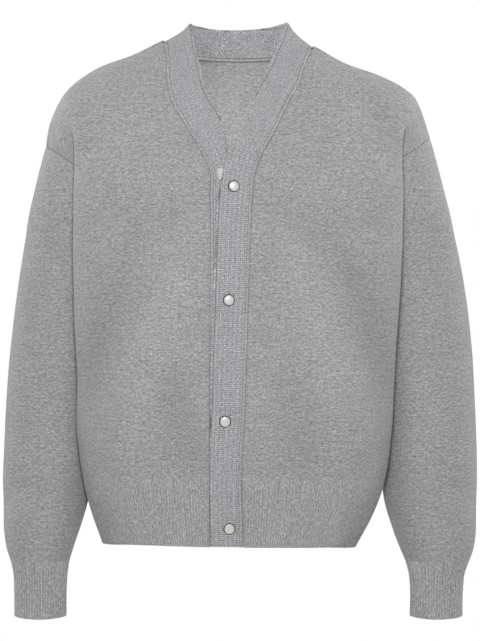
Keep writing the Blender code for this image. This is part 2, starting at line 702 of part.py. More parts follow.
def make_hem(finish):
    """The ribbed hem of both fronts and the back."""
    levels = places(BODY["down"][-3:], HEM_DOWN)
    fine = np.linspace(FRONT_STATIONS[0], FRONT_STATIONS[-1], FINE)
    for side, sign in SIDES.items():
        line = front(side, fine, levels)[1]
        grids = []
        for count in (2 * ribs_along(line), HEM_INSIDE):
            across = evenly(line, fine, count + 1)
            grids.append(in_metres(front(side, across, levels), sign))
        wall("hem_rib_" + side, *grids, RIB_WALL, "top first last", finish, flip=sign < 0, rise=RIB_RISE)
    fine = np.linspace(BACK_STATIONS[0], BACK_STATIONS[-1], FINE)
    line = back(fine, levels)[1, :FINE]
    grids = []
    for count in (2 * ribs_along(line), HEM_INSIDE):
        grids.append(in_metres(back(evenly(line, fine, count + 1), levels)))
    wall("hem_rib_back", *grids, RIB_WALL, "top first last", finish, flip=True, rise=RIB_RISE)


def make_band(levels, finish):
    """The doubled knit strip up the right front, round the neck and down the left front."""
    all_levels = np.append(levels, places(BODY["down"][-3:], HEM_DOWN)[1:])
    neck = places(BACK_STATIONS[6:], NECK_ACROSS)
    strip = in_metres(whole_band(all_levels, (neck - neck[0]) / (neck[-1] - neck[0])))
    wall("front_band", strip, strip, BAND_WALL, "first", finish, flip=True)


def make_tape(finish):
    """The end of a reinforcing tape on the under band, beside the crossing."""
    lift = SEAM_GAP + TAPE_WALL
    grid = []
    for row in TAPE_CORNERS:
        spots = [on_band("right", x, down) for x, down in row]
        grid.append([point + out * lift * MM for point, out in spots])
    grid = np.array(grid)
    wall("placket_tape", grid, grid, TAPE_WALL, "", finish)


def turned(name, profile, finish, ring=False):
    """A piece turned about Z, from its profile of (radius, height) in millimetres. A ring's profile
    goes round its section."""
    mesh = bpy.data.meshes.new(name)
    edges = [(i, i + 1) for i in range(len(profile) - 1)]
    if ring:
        edges.append((len(profile) - 1, 0))
    mesh.from_pydata([(radius * MM, 0, height * MM) for radius, height in profile], edges, [])
    mesh.materials.append(finish)
    made = bpy.data.objects.new(name, mesh)
    parts.objects.link(made)
    screw = made.modifiers.new("Turn", "SCREW")
    screw.steps = screw.render_steps = SNAP_SIDES
    screw.use_merge_vertices = True
    screw.merge_threshold = 0.00001
    screw.use_smooth_shade = True
    return made


def set_on(piece, point, out):
    """Stands a turned piece on a point, along a direction."""
    piece.location = point
    piece.rotation_euler = Vector(out).to_track_quat("Z", "Y").to_euler()


def make_snaps(finish):
    """Four domed caps on the upper band, and their ring backs inside the under band."""
    foot = SNAP_RIM * 0.8
    dome = [(SNAP_RADIUS * 0.8 * share, foot + (SNAP_DOME - foot) * (1 - share**2) ** 0.5)
            for share in (0, 0.45, 0.8, 1)]
    cap = dome + [(SNAP_RADIUS * 0.9, SNAP_RIM), (SNAP_RADIUS, SNAP_RIM * 0.5), (SNAP_RADIUS, 0), (0, 0)]
    ring = [(SNAP_BACK_HOLE, SNAP_BACK_DEPTH), (SNAP_BACK_RADIUS * 0.85, SNAP_BACK_DEPTH),
            (SNAP_BACK_RADIUS, SNAP_BACK_DEPTH / 2), (SNAP_BACK_RADIUS, 0), (SNAP_BACK_HOLE, 0)]
    for number, (x, down) in enumerate(SNAPS, start=1):
        point, out = on_band("left", x, down)
        set_on(turned(f"snap_cap_{number}", cap, finish), point + out * SEAM_GAP * MM, out)
        point, out = on_band("right", x, down)
        inside = point - out * (BAND_WALL + SEAM_GAP) * MM
        set_on(turned(f"snap_back_{number}", ring, finish, ring=True), inside, -out)


for old in list(bpy.data.objects):
    bpy.data.objects.remove(old)
parts = bpy.data.collections.new("button cardigan")
bpy.context.scene.collection.children.link(parts)

marl = material("marl_knit", "marl")
band_knit = material("band_knit", "band")
tape = material("tape", "tape", roughness=0.7)
pearl = material("snap_metal", "cap", roughness=0.35, metallic=0.4)

front_knots = [row[0] for row in FRONT_YOKE] + list(BODY["down"][:-2])
front_levels = places(front_knots, YOKE_DOWN + BODY_DOWN)
make_fronts(front_levels, marl)
make_back(marl)
make_sleeves(front_levels, marl)
make_cuffs(marl)
make_hem(marl)
make_band(front_levels, band_knit)
make_tape(tape)
make_snaps(pearl)
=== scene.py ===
"""A grey marl button cardigan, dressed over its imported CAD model.

Every cloth piece is a thin shell on its solid's form, worked out from the same tables as the
solids but more finely, with the soft folds, the ribs, the seams and the stitches added. In the
tables x counts outward from the middle to the piece's own side, y counts backward, and "down" is
the distance below the shoulder line, all in millimetres.
"""

from functools import partial

import bpy
import numpy as np
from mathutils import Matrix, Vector


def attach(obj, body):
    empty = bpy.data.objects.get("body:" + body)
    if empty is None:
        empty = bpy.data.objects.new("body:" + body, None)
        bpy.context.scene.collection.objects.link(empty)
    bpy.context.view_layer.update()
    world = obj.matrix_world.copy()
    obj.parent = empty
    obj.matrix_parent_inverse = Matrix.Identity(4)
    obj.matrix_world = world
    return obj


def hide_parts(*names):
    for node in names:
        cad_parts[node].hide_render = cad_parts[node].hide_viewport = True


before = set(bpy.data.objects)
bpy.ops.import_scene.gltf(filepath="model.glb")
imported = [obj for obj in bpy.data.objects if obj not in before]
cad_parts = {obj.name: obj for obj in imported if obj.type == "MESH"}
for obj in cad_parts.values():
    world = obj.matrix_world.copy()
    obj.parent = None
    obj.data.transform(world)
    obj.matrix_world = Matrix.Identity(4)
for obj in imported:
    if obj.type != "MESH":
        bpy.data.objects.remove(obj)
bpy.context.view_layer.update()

MM = 0.001
SIDES = {"right": -1, "left": 1}

BAND_WALL = 4.0
RIB_PITCH = 3.5
RIB_RISE = 0.9

# The left front's band laps over the right one: both tilt by the lap, from where it starts.
LAP = 4.8
LAP_STARTS, LAP_FULL = 95.0, 150.0

TAPE_WALL = 0.8


def table(names, rows):
    """The rows as one array for each named column."""
    return dict(zip(names.split(), np.array(rows, float).T))


BAND_COLUMNS = "seam_down seam_x seam_y edge_down edge_x edge_y"
SEAM_AND_EDGE = ("seam_x", "seam_y", "seam_down", "edge_x", "edge_y", "edge_down")
# The seam between each front and its band, and the band's free edge, from the shoulder to the hem.
BAND = {
    "right": table(BAND_COLUMNS, [
        (-4, 97.5, -10, -28.6, 64, -2),
        (25, 93.5, -38, 1, 58, -22),
        (52, 92.5, -56, 36, 49, -46),
        (82, 84.5, -74, 66, 40, -67),
        (111, 68, -89, 92, 27.5, -83),
        (137, 53, -99, 119, 19, -96),
        (166, 38.5, -107, 149, 14.5, -106),
        (200, 37.5, -113, 197, -1, -113.5),
        (245, 37, -118.5, 245, -4.5, -119),
        (330, 37, -124.5, 330, -5.5, -125),
        (400, 37.5, -126.5, 400, -5.5, -127),
        (470, 37.5, -126, 470, -4.5, -126),
        (530, 37, -120.5, 530, -4.5, -121),
        (556, 37, -116, 556, -4.5, -116),
        (600, 37, -107, 600, -4.5, -107),
        (645, 37, -99, 645, -5, -99),
    ]),
    "left": table(BAND_COLUMNS, [
        (3, 93, -12, -30, 60, -2),
        (32, 82, -43, 6, 47, -27),
        (54, 75, -58, 31, 36, -44),
        (83, 60, -75, 62, 22, -66),
        (118, 44, -92, 106, 8, -90),
        (148, 28, -102, 139, -8, -103),
        (171, 19.5, -108, 165, -19.5, -109),
        (205, 16, -113.5, 205, -27.5, -114),
        (265, 13, -120, 265, -30.5, -120.5),
        (330, 11, -124.5, 330, -34, -125),
        (400, 8.8, -127, 400, -36.2, -127),
        (470, 6.5, -126, 470, -37.2, -126),
        (530, 3, -121, 530, -37.2, -121),
        (556, 2.5, -116, 556, -37.2, -116),
        (600, 3, -107, 600, -37, -107),
        (645, 4.3, -99, 645, -36.7, -99),
    ]),
}

# Round the neck the band is hollow between its seam and its edge, by this much in the middle. That
# fades down the V, from one level to the other, and points to the middle of the neck.
BAND_HOLLOW, HOLLOW_FROM, HOLLOW_TO = 3.6, 5.0, 85.0
NECK_MIDDLE_Y = 25.0

# The band round the back of the neck, from beside the shoulder to the middle of the back.
NECK = table(BAND_COLUMNS, [
    (2.5, 91, 22, -30.5, 61, 18),
    (4, 80, 46, -31, 54, 38),
    (8, 57, 69, -29.5, 39, 57),
    (9.5, 30, 80, -28.5, 21, 66),
    (10, 0, 83, -28, 0, 69),
])
# The band's edge is higher toward the left round the back of the neck, by this share of x.
NECK_TILT = 0.025

# The armhole is a flat oval. Its top is the outer end of the shoulder seam and its foot is the
# underarm, where the side seam starts. Both are (x, down).
ARMHOLE = {
    "right": {"top": (252, 130), "foot": (166, 186)},
    "left": {"top": (247, 120), "foot": (167, 176)},
}
ARMHOLE_Y, ARMHOLE_HALF_DEPTH = 20.0, 65.0
UNDERARM = 200.0

# Sections of the right front over the chest, each from its band seam at "down" out to the armhole,
# as (x, y, down). The last number is the turn round the armhole, in degrees forward from its top.
FRONT_YOKE = [
    # down chest            breast            fold              crease            arm           turn
    (-4, (140, -14, 16), (185, -16, 34), (218, -17, 58), (234.5, -7, 79), (246, 4, 103), 6),
    (25, (138, -40, 35), (183, -40, 52), (217, -36, 74), (231, -27, 94), (241, -15, 114), 28),
    (60, (132, -66, 69), (179, -60, 81), (213, -51, 96), (222, -42, 111), (232, -34, 126), 50),
    (100, (127, -87, 107), (176, -77, 112), (210, -60, 122), (209, -46, 131), (216, -43, 141), 72),
    (140, (124, -100, 144), (175, -88, 147), (209, -64, 151), (204, -49, 156), (203, -46, 160), 98),
    (170, (122, -108, 172), (174, -94, 172), (209, -63, 172), (190, -44, 174), (181, -35, 176), 135),
    (200, (122, -112, 200), (174, -97, 199), (210, -60, 196), (183, -40, 190), (168, -10, 187), 180),
]

# Sections of the right half of the back over the shoulder, each from the middle at "down" and
# "middle_y" out to the armhole.
BACK_YOKE = [
    # down middle_y, nape, collar, neck, trap, blade, fold, crease, arm, turn
    (10, 83, (57, 69, 8), (80, 46, 4), (97.5, -10, -4), (140, -14, 16), (185, -16, 34),
     (218, -17, 58), (234.5, -7, 79), (246, 4, 103), 6),
    (15, 86, (59, 74, 12), (86, 48, 8), (102.5, 3, -3), (140, 9, 14), (184, 9, 29.5),
     (218, 11, 52), (235.5, 18, 76), (246, 26, 101), -10),
    (24, 89.5, (60, 79, 20), (91, 52, 15), (104.5, 18, 7), (139, 32, 22), (182, 33, 39),
     (216, 37, 61), (232, 44, 85), (241, 50, 112), -30),
    (44, 95, (60, 88, 40), (93, 66, 34), (106, 48, 27), (138, 57, 44), (178, 58, 64),
     (211, 61, 87), (224, 66, 108), (231.5, 70, 126), -52),
    (80, 104, (59, 100, 78), (88, 93, 75), (107, 86, 74), (136, 81, 84), (174, 81, 99),
     (206, 82, 119), (212, 82, 133), (216.5, 83, 142), -76),
    (125, 112, (57, 110, 124), (83, 107, 123.5), (106, 103, 123), (134, 99.5, 127), (171, 97, 137),
     (204, 92, 153), (198, 84, 158), (195, 82, 163), -110),
    (165, 117, (57, 115.5, 164.5), (82, 113.5, 164), (105, 110.5, 164), (133, 107.5, 166),
     (170, 104, 171), (203, 95, 177), (182, 79, 178), (174.5, 64, 179.5), -145),
    (200, 119, (57, 118, 200), (82, 116.5, 199.5), (105, 114.5, 199), (133, 111, 199),
     (170, 106, 198), (203, 94, 196), (181, 72, 191), (168, 47, 187), -180),
]

# How much lower the left shoulder lies, how that fades from section to section, and its width.
LEFT_SHOULDER_DROP = {
    "nape": 0, "collar": 0, "neck": 11, "chest": 11, "trap": 11.5, "breast": 10, "blade": 10, "fold": 4,
    "crease": 0, "arm": 0,
}
BESIDE_NECK = ("nape", "collar", "neck")
LEFT_SHOULDER_FADE = (1.0, 0.85, 0.55, 0.25, 0.0, 0.0, 0.0, 0.0)
LEFT_SHOULDER_WIDTH = 0.982
CREASE_FOLLOWS, ARM_FOLLOWS = 0.4, 0.75
# At the neck the left shoulder seam is lower by this much. Below LEVEL_FROM both sides are level.
LEFT_NECK_DROP, LEVEL_FROM = 7.0, 42.0

# Sections of the body below the armholes. The front and the back fold over the sleeves, and tuck
# in behind each fold to clear them. At the hem the section is a plain oval.
BODY = table(
    "down fold_right fold_left fold_y front_y back_y tuck tuck_y seam_in seam_y"
    " back_in back_fold_y back_tuck back_tuck_y",
    [
        (240, 211, 206, -58, -118, 119, 26, -36, 50, 21, 8, 92, 30, 72),
        (300, 211, 204, -55, -123, 118, 19, -30, 49, 22, 9, 87, 28, 68),
        (360, 210, 200, -52, -126, 117, 16, -26, 46, 22, 10, 82, 25, 64),
        (430, 208.5, 197, -47, -127, 116, 13, -22, 40, 20, 10, 75, 20, 56),
        (500, 206.5, 192, -40, -124, 113, 9, -15, 33, 17, 10, 64, 14, 46),
        (556, 200, 185, -29, -116, 107, 6, -6, 22, 14, 9, 50, 10, 36),
        (600, 190, 170, -16, -107, 99, 3, 2, 8, 12, 7, 36, 3, 26),
        (645, 175, 147, -4, -99, 92, 1, 6, 3, 12, 7, 32, 1, 22),
    ],
)
# The arm point lies between a side seam and a tuck: this far out, and these shares of their y.
ARM_OUT, FRONT_ARM_Y, BACK_ARM_Y = 0.3, (0.45, 0.55), (0.5, 0.5)
# The hem is higher in the middle of the front, and lower toward the left by a share of x. Both
# come in below HEM_FROM.
HEM_RISE, HEM_RISE_DEPTH, HEM_TILT, HEM_FROM = 6.3, 95.0, 0.014, 480.0
# Where the front and the back bulge between the fold and the middle: a share of the way out to the
# fold, and a share of the depth.
FRONT_BULGE = ((0.585, 0.86), (0.83, 0.58))
BACK_BULGE = ((0.85, 0.52), (0.66, 0.78), (0.52, 0.885), (0.41, 0.935), (0.28, 0.972), (0.0, 1.0))

# Sections of a sleeve and its cuff below the armhole, by their outermost and innermost points. The
# cuff has the last of them.
ARM = table(
    "outer_down inner_down right_outer right_inner left_outer left_inner middle_y half_depth",
    [
        (172, 218, 263, 165.5, 261, 167, 21, 65),
        (215, 250, 272, 165.5, 271, 166.5, 22, 62.5),
        (270, 296, 282, 167, 284, 166.5, 23, 59),
        (330, 347, 291, 170, 294.5, 168, 24, 57),
        (395, 406, 298.5, 174.5, 301.5, 171, 24, 56),
        (460, 466, 303.5, 181, 305, 175.5, 22, 55),
        (520, 523, 306, 187.5, 307, 181, 19, 54),
        (565, 566, 307.5, 193, 307.3, 184, 16, 53),
        (593, 593, 307.3, 198, 307, 188, 14, 51),
        (618, 618, 306.3, 205.3, 306, 195.5, 12, 47.5),
        (640, 640, 303.7, 212.8, 304, 203.3, 11, 42.5),
        (655, 655, 300.3, 217.6, 300.6, 209.5, 10, 37.5),
        (664, 664, 297.2, 220.3, 297.3, 213.3, 10, 34),
        (678, 678, 293, 223.4, 291, 218.3, 10, 30),
        (702, 702, 291.4, 225.2, 287.8, 220.9, 10, 28),
        (737, 737, 291.2, 225.4, 287, 220.4, 10, 27),
    ],
)
CUFF_ROWS = 3
CUFF_DIP = 2.0

# Snaps down the middle of the upper band, and the four corners of the tape end beside it.
SNAPS = [(-7.6, 189.8), (-13.8, 329.9), (-18.4, 479.9), (-13.2, 620.5)]
TAPE_CORNERS = [[(-28.5, 171.5), (-20.8, 174.8)], [(-26.3, 183.3), (-23.0, 184.3)]]

# Stations across a front, from its band seam to the armhole, and across half of the back, from the
# armhole to the neck point and on to the middle.
FRONT_STATIONS = (0.0, 85.0, 140.0, 185.0, 222.0, 248.0, 275.0)
BACK_STATIONS = (0.0, 27.0, 53.0, 90.0, 131.0, 178.0, 226.0, 286.0, 318.0, 376.0)
NECK_STATION = BACK_STATIONS[6]
# How far in from its edges a front or a back is eased over to run along its seams.
EDGE_REACH = 48.0


def spline(knots, values, at):
    """Points at the places `at` on the smooth curve through one row of values for each knot."""
    knots = np.asarray(knots, float)
    values = np.asarray(values, float).reshape(len(knots), -1)
    at = np.clip(np.atleast_1d(at), knots[0], knots[-1])
    step = np.diff(knots)[:, None]
    rise = np.diff(values, axis=0) / step
    slope = np.empty_like(values)
    slope[0], slope[-1] = rise[0], rise[-1]
    slope[1:-1] = (rise[:-1] * step[1:] + rise[1:] * step[:-1]) / (step[1:] + step[:-1])
    low = np.clip(np.searchsorted(knots, at, side="right") - 1, 0, len(knots) - 2)
    span = step[low]
    u = (at[:, None] - knots[low, None]) / span
    rest = 1 - u
    return (
        values[low] * rest * rest * (1 + 2 * u)
        + values[low + 1] * u * u * (3 - 2 * u)
        + (slope[low] * rest - slope[low + 1] * u) * span * u * rest
    )


def columns(rows, *names):
    """The named columns of a table side by side."""
    return np.column_stack([rows[name] for name in names])


def places(knots, counts):
    """The knots, with each span between two of them cut into that many equal steps."""
    cut = [np.linspace(a, b, n, endpoint=False) for a, b, n in zip(knots, knots[1:], counts)]
    return np.append(np.concatenate(cut), knots[-1])


def ease(start, end, at):
    """0 before start, 1 after end and smooth between them."""
    u = np.clip((np.asarray(at, float) - start) / (end - start), 0, 1)
    return u * u * (3 - 2 * u)


def run_of(line):
    """The distance of each point of a line from its start, measured along it."""
    return np.append(0, np.cumsum(np.linalg.norm(np.diff(line, axis=0), axis=1)))


def unit(vectors):
    """The vectors at a length of 1. Those of no length stay as they are."""
    return vectors / np.maximum(np.linalg.norm(vectors, axis=-1, keepdims=True), TINY)


def armhole(side, turn):
    """Points of the armhole at turns in degrees from its top, forward positive."""
    top = np.array(ARMHOLE[side]["top"], float)
    foot = np.array(ARMHOLE[side]["foot"], float)
    turn = np.radians(np.atleast_1d(turn))
    flat = (top + foot) / 2 + np.cos(turn)[:, None] * (top - foot) / 2
    depth = ARMHOLE_Y - ARMHOLE_HALF_DEPTH * np.sin(turn)
    return np.column_stack([flat[:, 0], depth, flat[:, 1]])


def section_of(side, names, points, row):
    """The named points of a yoke section. The left shoulder is lower and a little narrower."""
    section = {name: np.array(point, float) for name, point in zip(names, points)}
    if side == "left":
        for name, point in section.items():
            point[0] *= 1 if name in BESIDE_NECK else LEFT_SHOULDER_WIDTH
            point[2] += LEFT_SHOULDER_DROP[name] * LEFT_SHOULDER_FADE[row]
    return section


def to_armhole(side, turn, section):
    """The points of a yoke section from its fold to the armhole."""
    end = armhole(side, turn)[0]
    shift = end - armhole("right", turn)[0]
    crease = section["crease"] + CREASE_FOLLOWS * shift
    return section["fold"], crease, section["arm"] + ARM_FOLLOWS * shift, end


def body_side(side, row):
    """The points of a body section from the front fold to the back fold, as (x, y)."""
    get = {name: values[row] for name, values in BODY.items()}
    fold = get["fold_" + side]
    seam = fold - get["seam_in"]
    back_fold = fold - get["back_in"]
    front_room = get["seam_in"] - get["tuck"]
    back_room = max(get["seam_in"] - get["back_in"] - get["back_tuck"], 0)

    def arm_point(room, shares, tuck_y):
        return seam + ARM_OUT * room, shares[0] * get["seam_y"] + shares[1] * tuck_y

    return {
        "fold": (fold, get["fold_y"]),
        "crease": (fold - get["tuck"], get["tuck_y"]),
        "arm": arm_point(front_room, FRONT_ARM_Y, get["tuck_y"]),
        "seam": (seam, get["seam_y"]),
        "back_arm": arm_point(back_room, BACK_ARM_Y, get["back_tuck_y"]),
        "back_crease": (back_fold - get["back_tuck"], get["back_tuck_y"]),
        "back_fold": (back_fold, get["back_fold_y"]),
    }


def hung(points, sign=1):
    """Points of the body as its hem hangs. The sign is that of their side, if x is not signed."""
    points = np.array(points, float)
    x, y, down = points[..., 0] * sign, points[..., 1], points[..., 2]
    share = ease(HEM_FROM, BODY["down"][-1], down)
    points[..., 2] += share * (HEM_TILT * x - HEM_RISE * ease(0, HEM_RISE_DEPTH, -y))
    return points


def at_band(side, levels):
    """How far down its band seam each level of a side starts: the left shoulder's is lower."""
    drop = LEFT_NECK_DROP if side == "left" else 0
    return levels + drop * (1 - ease(FRONT_YOKE[0][0], LEVEL_FROM, levels))


def band_seam(side, levels):
    """Points of the seam between a front and its band."""
    rows = BAND[side]
    seam = columns(rows, "seam_x", "seam_y", "seam_down")
    return spline(rows["seam_down"], seam, at_band(side, np.asarray(levels, float)))


def side_seam(side, down):
    """Points of the side seam from the underarm to the hem."""
    seams = [armhole(side, 180)[0]]
    seams += [(*body_side(side, row)["seam"], level) for row, level in enumerate(BODY["down"])]
    return spline(np.append(UNDERARM, BODY["down"]), seams, down)


def turns_of(yoke, levels):
    """The turns round the armhole where the levels of a yoke end."""
    return spline([row[0] for row in yoke], [row[-1] for row in yoke], levels)[:, 0]


def outer_edge(side, yoke, levels):
    """The outer edge of a front or a half back: down the armhole, then down the side seam."""
    above = (levels <= UNDERARM)[:, None]
    return np.where(above, armhole(side, turns_of(yoke, levels)), side_seam(side, levels))


def near(across, station):
    """How far columns at stations across follow an edge at a station: 1 there, and 0 further in."""
    return 1 - ease(0, EDGE_REACH, np.abs(across - station))[:, None]


def front_yoke(side, row):
    """The seven points of a front's section above the underarm, from its band to the armhole."""
    level, *points, turn = FRONT_YOKE[row]
    section = section_of(side, ("chest", "breast", "fold", "crease", "arm"), points, row)
    inner = [band_seam(side, level)[0], section["chest"], section["breast"]]
    return [*inner, *to_armhole(side, turn, section)]


def back_yoke(side, row):
    """The ten points of a half back's section above the underarm, from the armhole to the middle."""
    level, middle_y, *points, turn = BACK_YOKE[row]
    names = ("nape", "collar", "neck", "trap", "blade", "fold", "crease", "arm")
    section = section_of(side, names, points, row)
    inner = [section[name] for name in ("blade", "trap", "neck", "collar", "nape")]
    return [*to_armhole(side, turn, section)[::-1], *inner, (0, middle_y, level)]


def body_section(side, row, fold, plane, bulge, names):
    """Points of a body section: in from a fold along its bulge, and its named ones."""
    points = body_side(side, row)
    level = BODY["down"][row]
    fold_x, fold_y = points[fold]
    depth = BODY[plane][row] - fold_y
    across = [(at * fold_x, fold_y + share * depth, level) for at, share in bulge]
    return across, [(*points[name], level) for name in names]


def section_levels(yoke):
    """The levels of a panel's sections, and first of one before its seam, for a smooth shoulder."""
    return np.array([2 * yoke[0][0] - yoke[1][0], *[row[0] for row in yoke], *BODY["down"]])


def front_sections(side):
    """The levels of a front's sections, and the seven points of each."""
    net = [back_yoke(side, 1)[:7][::-1]]
    net += [front_yoke(side, row) for row in range(len(FRONT_YOKE))]
    names = ("fold", "crease", "arm", "seam")
    for row, level in enumerate(BODY["down"]):
        across, lateral = body_section(side, row, "fold", "front_y", FRONT_BULGE, names)
        net.append([band_seam(side, level)[0], *across, *lateral])
    return section_levels(FRONT_YOKE), np.array(net)


def front(side, across, levels):
    """A grid of points of a front, a row for each level and a column for each station across."""
    knots, net = front_sections(side)
    rows = np.array([spline(FRONT_STATIONS, section, across) for section in net])
    grid = spline(knots, rows, levels).reshape(len(levels), len(across), 3)
    to_band = band_seam(side, levels)[:, None] - grid[:, :1]
    to_side = outer_edge(side, FRONT_YOKE, levels)[:, None] - grid[:, -1:]
    first, last = near(across, FRONT_STATIONS[0]), near(across, FRONT_STATIONS[-1])
    return hung(grid + to_band * first + to_side * last, SIDES[side])


def shoulder_seam(side, across):
    """Points of the shoulder seam at stations of the back, from the armhole in to the neck."""
    at = np.interp(across, BACK_STATIONS[:7], FRONT_STATIONS[::-1])
    return spline(FRONT_STATIONS, front_yoke(side, 0), at)


def neckline(side, share):
    """The back neck seam and the band's free edge at shares from the shoulder, 0, to the nape, 1."""
    neck = columns(NECK, *SEAM_AND_EDGE)
    neck[:, 5] -= SIDES[side] * NECK_TILT * neck[:, 3]
    points = np.vstack([columns(BAND[side], *SEAM_AND_EDGE)[:1], neck])
    at = run_of(points[:, :2])
    return spline(at, points, at[-1] * np.atleast_1d(share))


def back_sections(side):
    """The levels of the back's sections, and the ten points of each from a side to the middle."""
    neck = [2 * np.array(a) - b for a, b in zip(back_yoke(side, 0)[7:], back_yoke(side, 1)[7:])]
    net = [front_yoke(side, 1)[::-1] + neck]
    net += [back_yoke(side, row) for row in range(len(BACK_YOKE))]
    names = ("seam", "back_arm", "back_crease", "back_fold")
    for row in range(len(BODY["down"])):
        across, lateral = body_section(side, row, "back_fold", "back_y", BACK_BULGE, names)
        net.append([*lateral, *across])
    return section_levels(BACK_YOKE), np.array(net)


def back(across, levels):
    """A grid of points of the back, from the right armhole and side seam to the left ones."""
    halves = []
    for side, sign in SIDES.items():
        knots, net = back_sections(side)
        rows = np.array([spline(BACK_STATIONS, section, across) for section in net])
        wing = across <= NECK_STATION
        share = (across[~wing] - NECK_STATION) / (BACK_STATIONS[-1] - NECK_STATION)
        rows[1][wing] = shoulder_seam(side, across[wing])
        rows[1][~wing] = neckline(side, share)[:, :3]
        grid = spline(knots, rows, levels).reshape(len(levels), len(across), 3)
        grid += (outer_edge(side, BACK_YOKE, levels)[:, None] - grid[:, :1]) * near(across, 0)
        halves.append(grid * (sign, 1, 1))
    right, left = halves
    return hung(np.concatenate([right, left[:, -2::-1]], axis=1))


def arm(side, turns, first, counts):
    """A grid of points of a sleeve or a cuff: rings from the section `first`, counted from the
    armhole, with a point at each turn in degrees from the outer side. The cuff's end dips at the
    front and the back."""
    names = ("outer_down", side + "_outer", "inner_down", side + "_inner", "middle_y", "half_depth")
    (top_x, top_down), (foot_x, foot_down) = ARMHOLE[side]["top"], ARMHOLE[side]["foot"]
    start = (top_down, top_x, foot_down, foot_x, ARMHOLE_Y, ARMHOLE_HALF_DEPTH)
    rows = np.vstack([start, columns(ARM, *names)])
    knots = rows[:, 0] + rows[:, 2]
    at = places(knots[first:first + len(counts) + 1], counts)
    outer_down, outer_x, inner_down, inner_x, y, half_depth = spline(knots, rows, at).T[:, :, None]
    turn = np.radians(turns)
    x = (outer_x + inner_x) / 2 + np.cos(turn) * (outer_x - inner_x) / 2
    down = (outer_down + inner_down) / 2 + np.cos(turn) * (outer_down - inner_down) / 2
    cuff = np.clip((at - knots[-1 - CUFF_ROWS]) / (knots[-1] - knots[-1 - CUFF_ROWS]), 0, 1)
    down = down + CUFF_DIP * cuff[:, None] ** 2 * np.sin(turn) ** 2
    return np.stack([x, y - half_depth * np.sin(turn), down], axis=2)


def band_strip(side, levels):
    """The seam and the free edge of a front's band. The left one laps over the right one."""
    rows = BAND[side]
    points = spline(rows["seam_down"], columns(rows, *SEAM_AND_EDGE), at_band(side, levels))
    points[:, 4] -= SIDES[side] * LAP * ease(LAP_STARTS, LAP_FULL, points[:, 5])
    points *= np.tile((SIDES[side], 1, 1), 2)
    return hung(points.reshape(-1, 2, 3)).reshape(-1, 6)


def whole_band(levels, shares):
    """The seam, middle and free edge of the whole strip, from the right hem round the neck to the
    left hem."""
    right, left = band_strip("right", levels), band_strip("left", levels)
    neck = {side: neckline(side, shares) * np.tile((sign, 1, 1), 2) for side, sign in SIDES.items()}
    strip = np.concatenate([right[::-1], neck["right"][1:], neck["left"][-2:0:-1], left])
    seam, edge = strip[:, :3], strip[:, 3:]
    width = unit(edge - seam)
    inward = (0, NECK_MIDDLE_Y, 0) - (seam + edge) / 2
    inward[:, 2] = 0
    inward -= (inward * width).sum(axis=1, keepdims=True) * width
    hollow = BAND_HOLLOW * (1 - ease(HOLLOW_FROM, HOLLOW_TO, seam[:, 2]))
    middle = (seam + edge) / 2 + unit(inward) * hollow[:, None]
    return np.stack([seam, middle, edge], axis=1)


def on_band(side, x, down):
    """The point of a band's outer side at a model x and a level, and the outward direction there."""
    strip = band_strip(side, np.array([down - 1, down, down + 1]))
    seam, edge = strip[:, :3], strip[:, 3:]
    share = (x - seam[1, 0]) / (edge[1, 0] - seam[1, 0])
    line = seam + (edge - seam) * share
    line, across = in_metres(line), in_metres(edge[1] - seam[1])
    out = np.cross(across, line[2] - line[0])
    out *= -np.sign(out[1]) / np.linalg.norm(out)
    return line[1], out


def in_metres(grid, sign=1):
    """Points in millimetres, as (x, y, down), as points of the model."""
    return np.asarray(grid) * (sign * MM, MM, -MM)


def evenly(line, at, count):
    """Places, read off `at`, that are evenly spaced along a line of points."""
    run = run_of(line)
    return np.interp(np.linspace(0, run[-1], count), run, at)


def ribs_along(line):
    """How many ribs fit along a line of points in millimetres."""
    return round(run_of(line)[-1] / RIB_PITCH)


# ---------------------------------------------------------------------------------------------
# Folds, as soft ridges (height above 0) and troughs along lines, in the plane seen from the front
# or the back. x is the model's, down is below the shoulder line, all in millimetres.

FRONT_FOLDS = [
    # height width start_x start_down end_x end_down
    (8.5, 24, -66, 268, -154, 508),
    (-8.0, 24, -146, 280, -192, 450),
    (-7.5, 28, -88, 425, -70, 540),
    (2.5, 26, -40, 400, -34, 530),
    (2.6, 20, -182, 330, -200, 480),
    (-4.0, 24, -60, 195, -150, 240),
    (2.2, 24, -120, 95, -196, 190),
    (-2.2, 18, -150, 60, -200, 150),
    (7.5, 24, 76, 262, 142, 492),
    (-8.5, 23, 134, 256, 178, 440),
    (-7.0, 28, 64, 425, 78, 540),
    (3.0, 26, 52, 430, 44, 540),
    (-5.5, 20, 28, 205, 112, 252),
    (2.2, 22, 110, 90, 186, 190),
    (-2.1, 17, 150, 62, 200, 148),
    (2.0, 18, 182, 300, 196, 470),
]
BACK_FOLDS = [
    (8.0, 26, -66, 250, -152, 505),
    (-8.0, 24, -134, 250, -182, 450),
    (-7.0, 30, -92, 410, -76, 548),
    (7.5, 25, 56, 230, 146, 500),
    (-7.5, 24, 124, 262, 176, 470),
    (-6.0, 30, 64, 400, 84, 545),
    (2.4, 30, 10, 120, 16, 330),
    (-2.6, 22, -90, 120, -176, 190),
    (-2.6, 22, 92, 118, 172, 184),
    (2.0, 20, -70, 90, -150, 140),
    (2.0, 20, 76, 92, 150, 140),
]
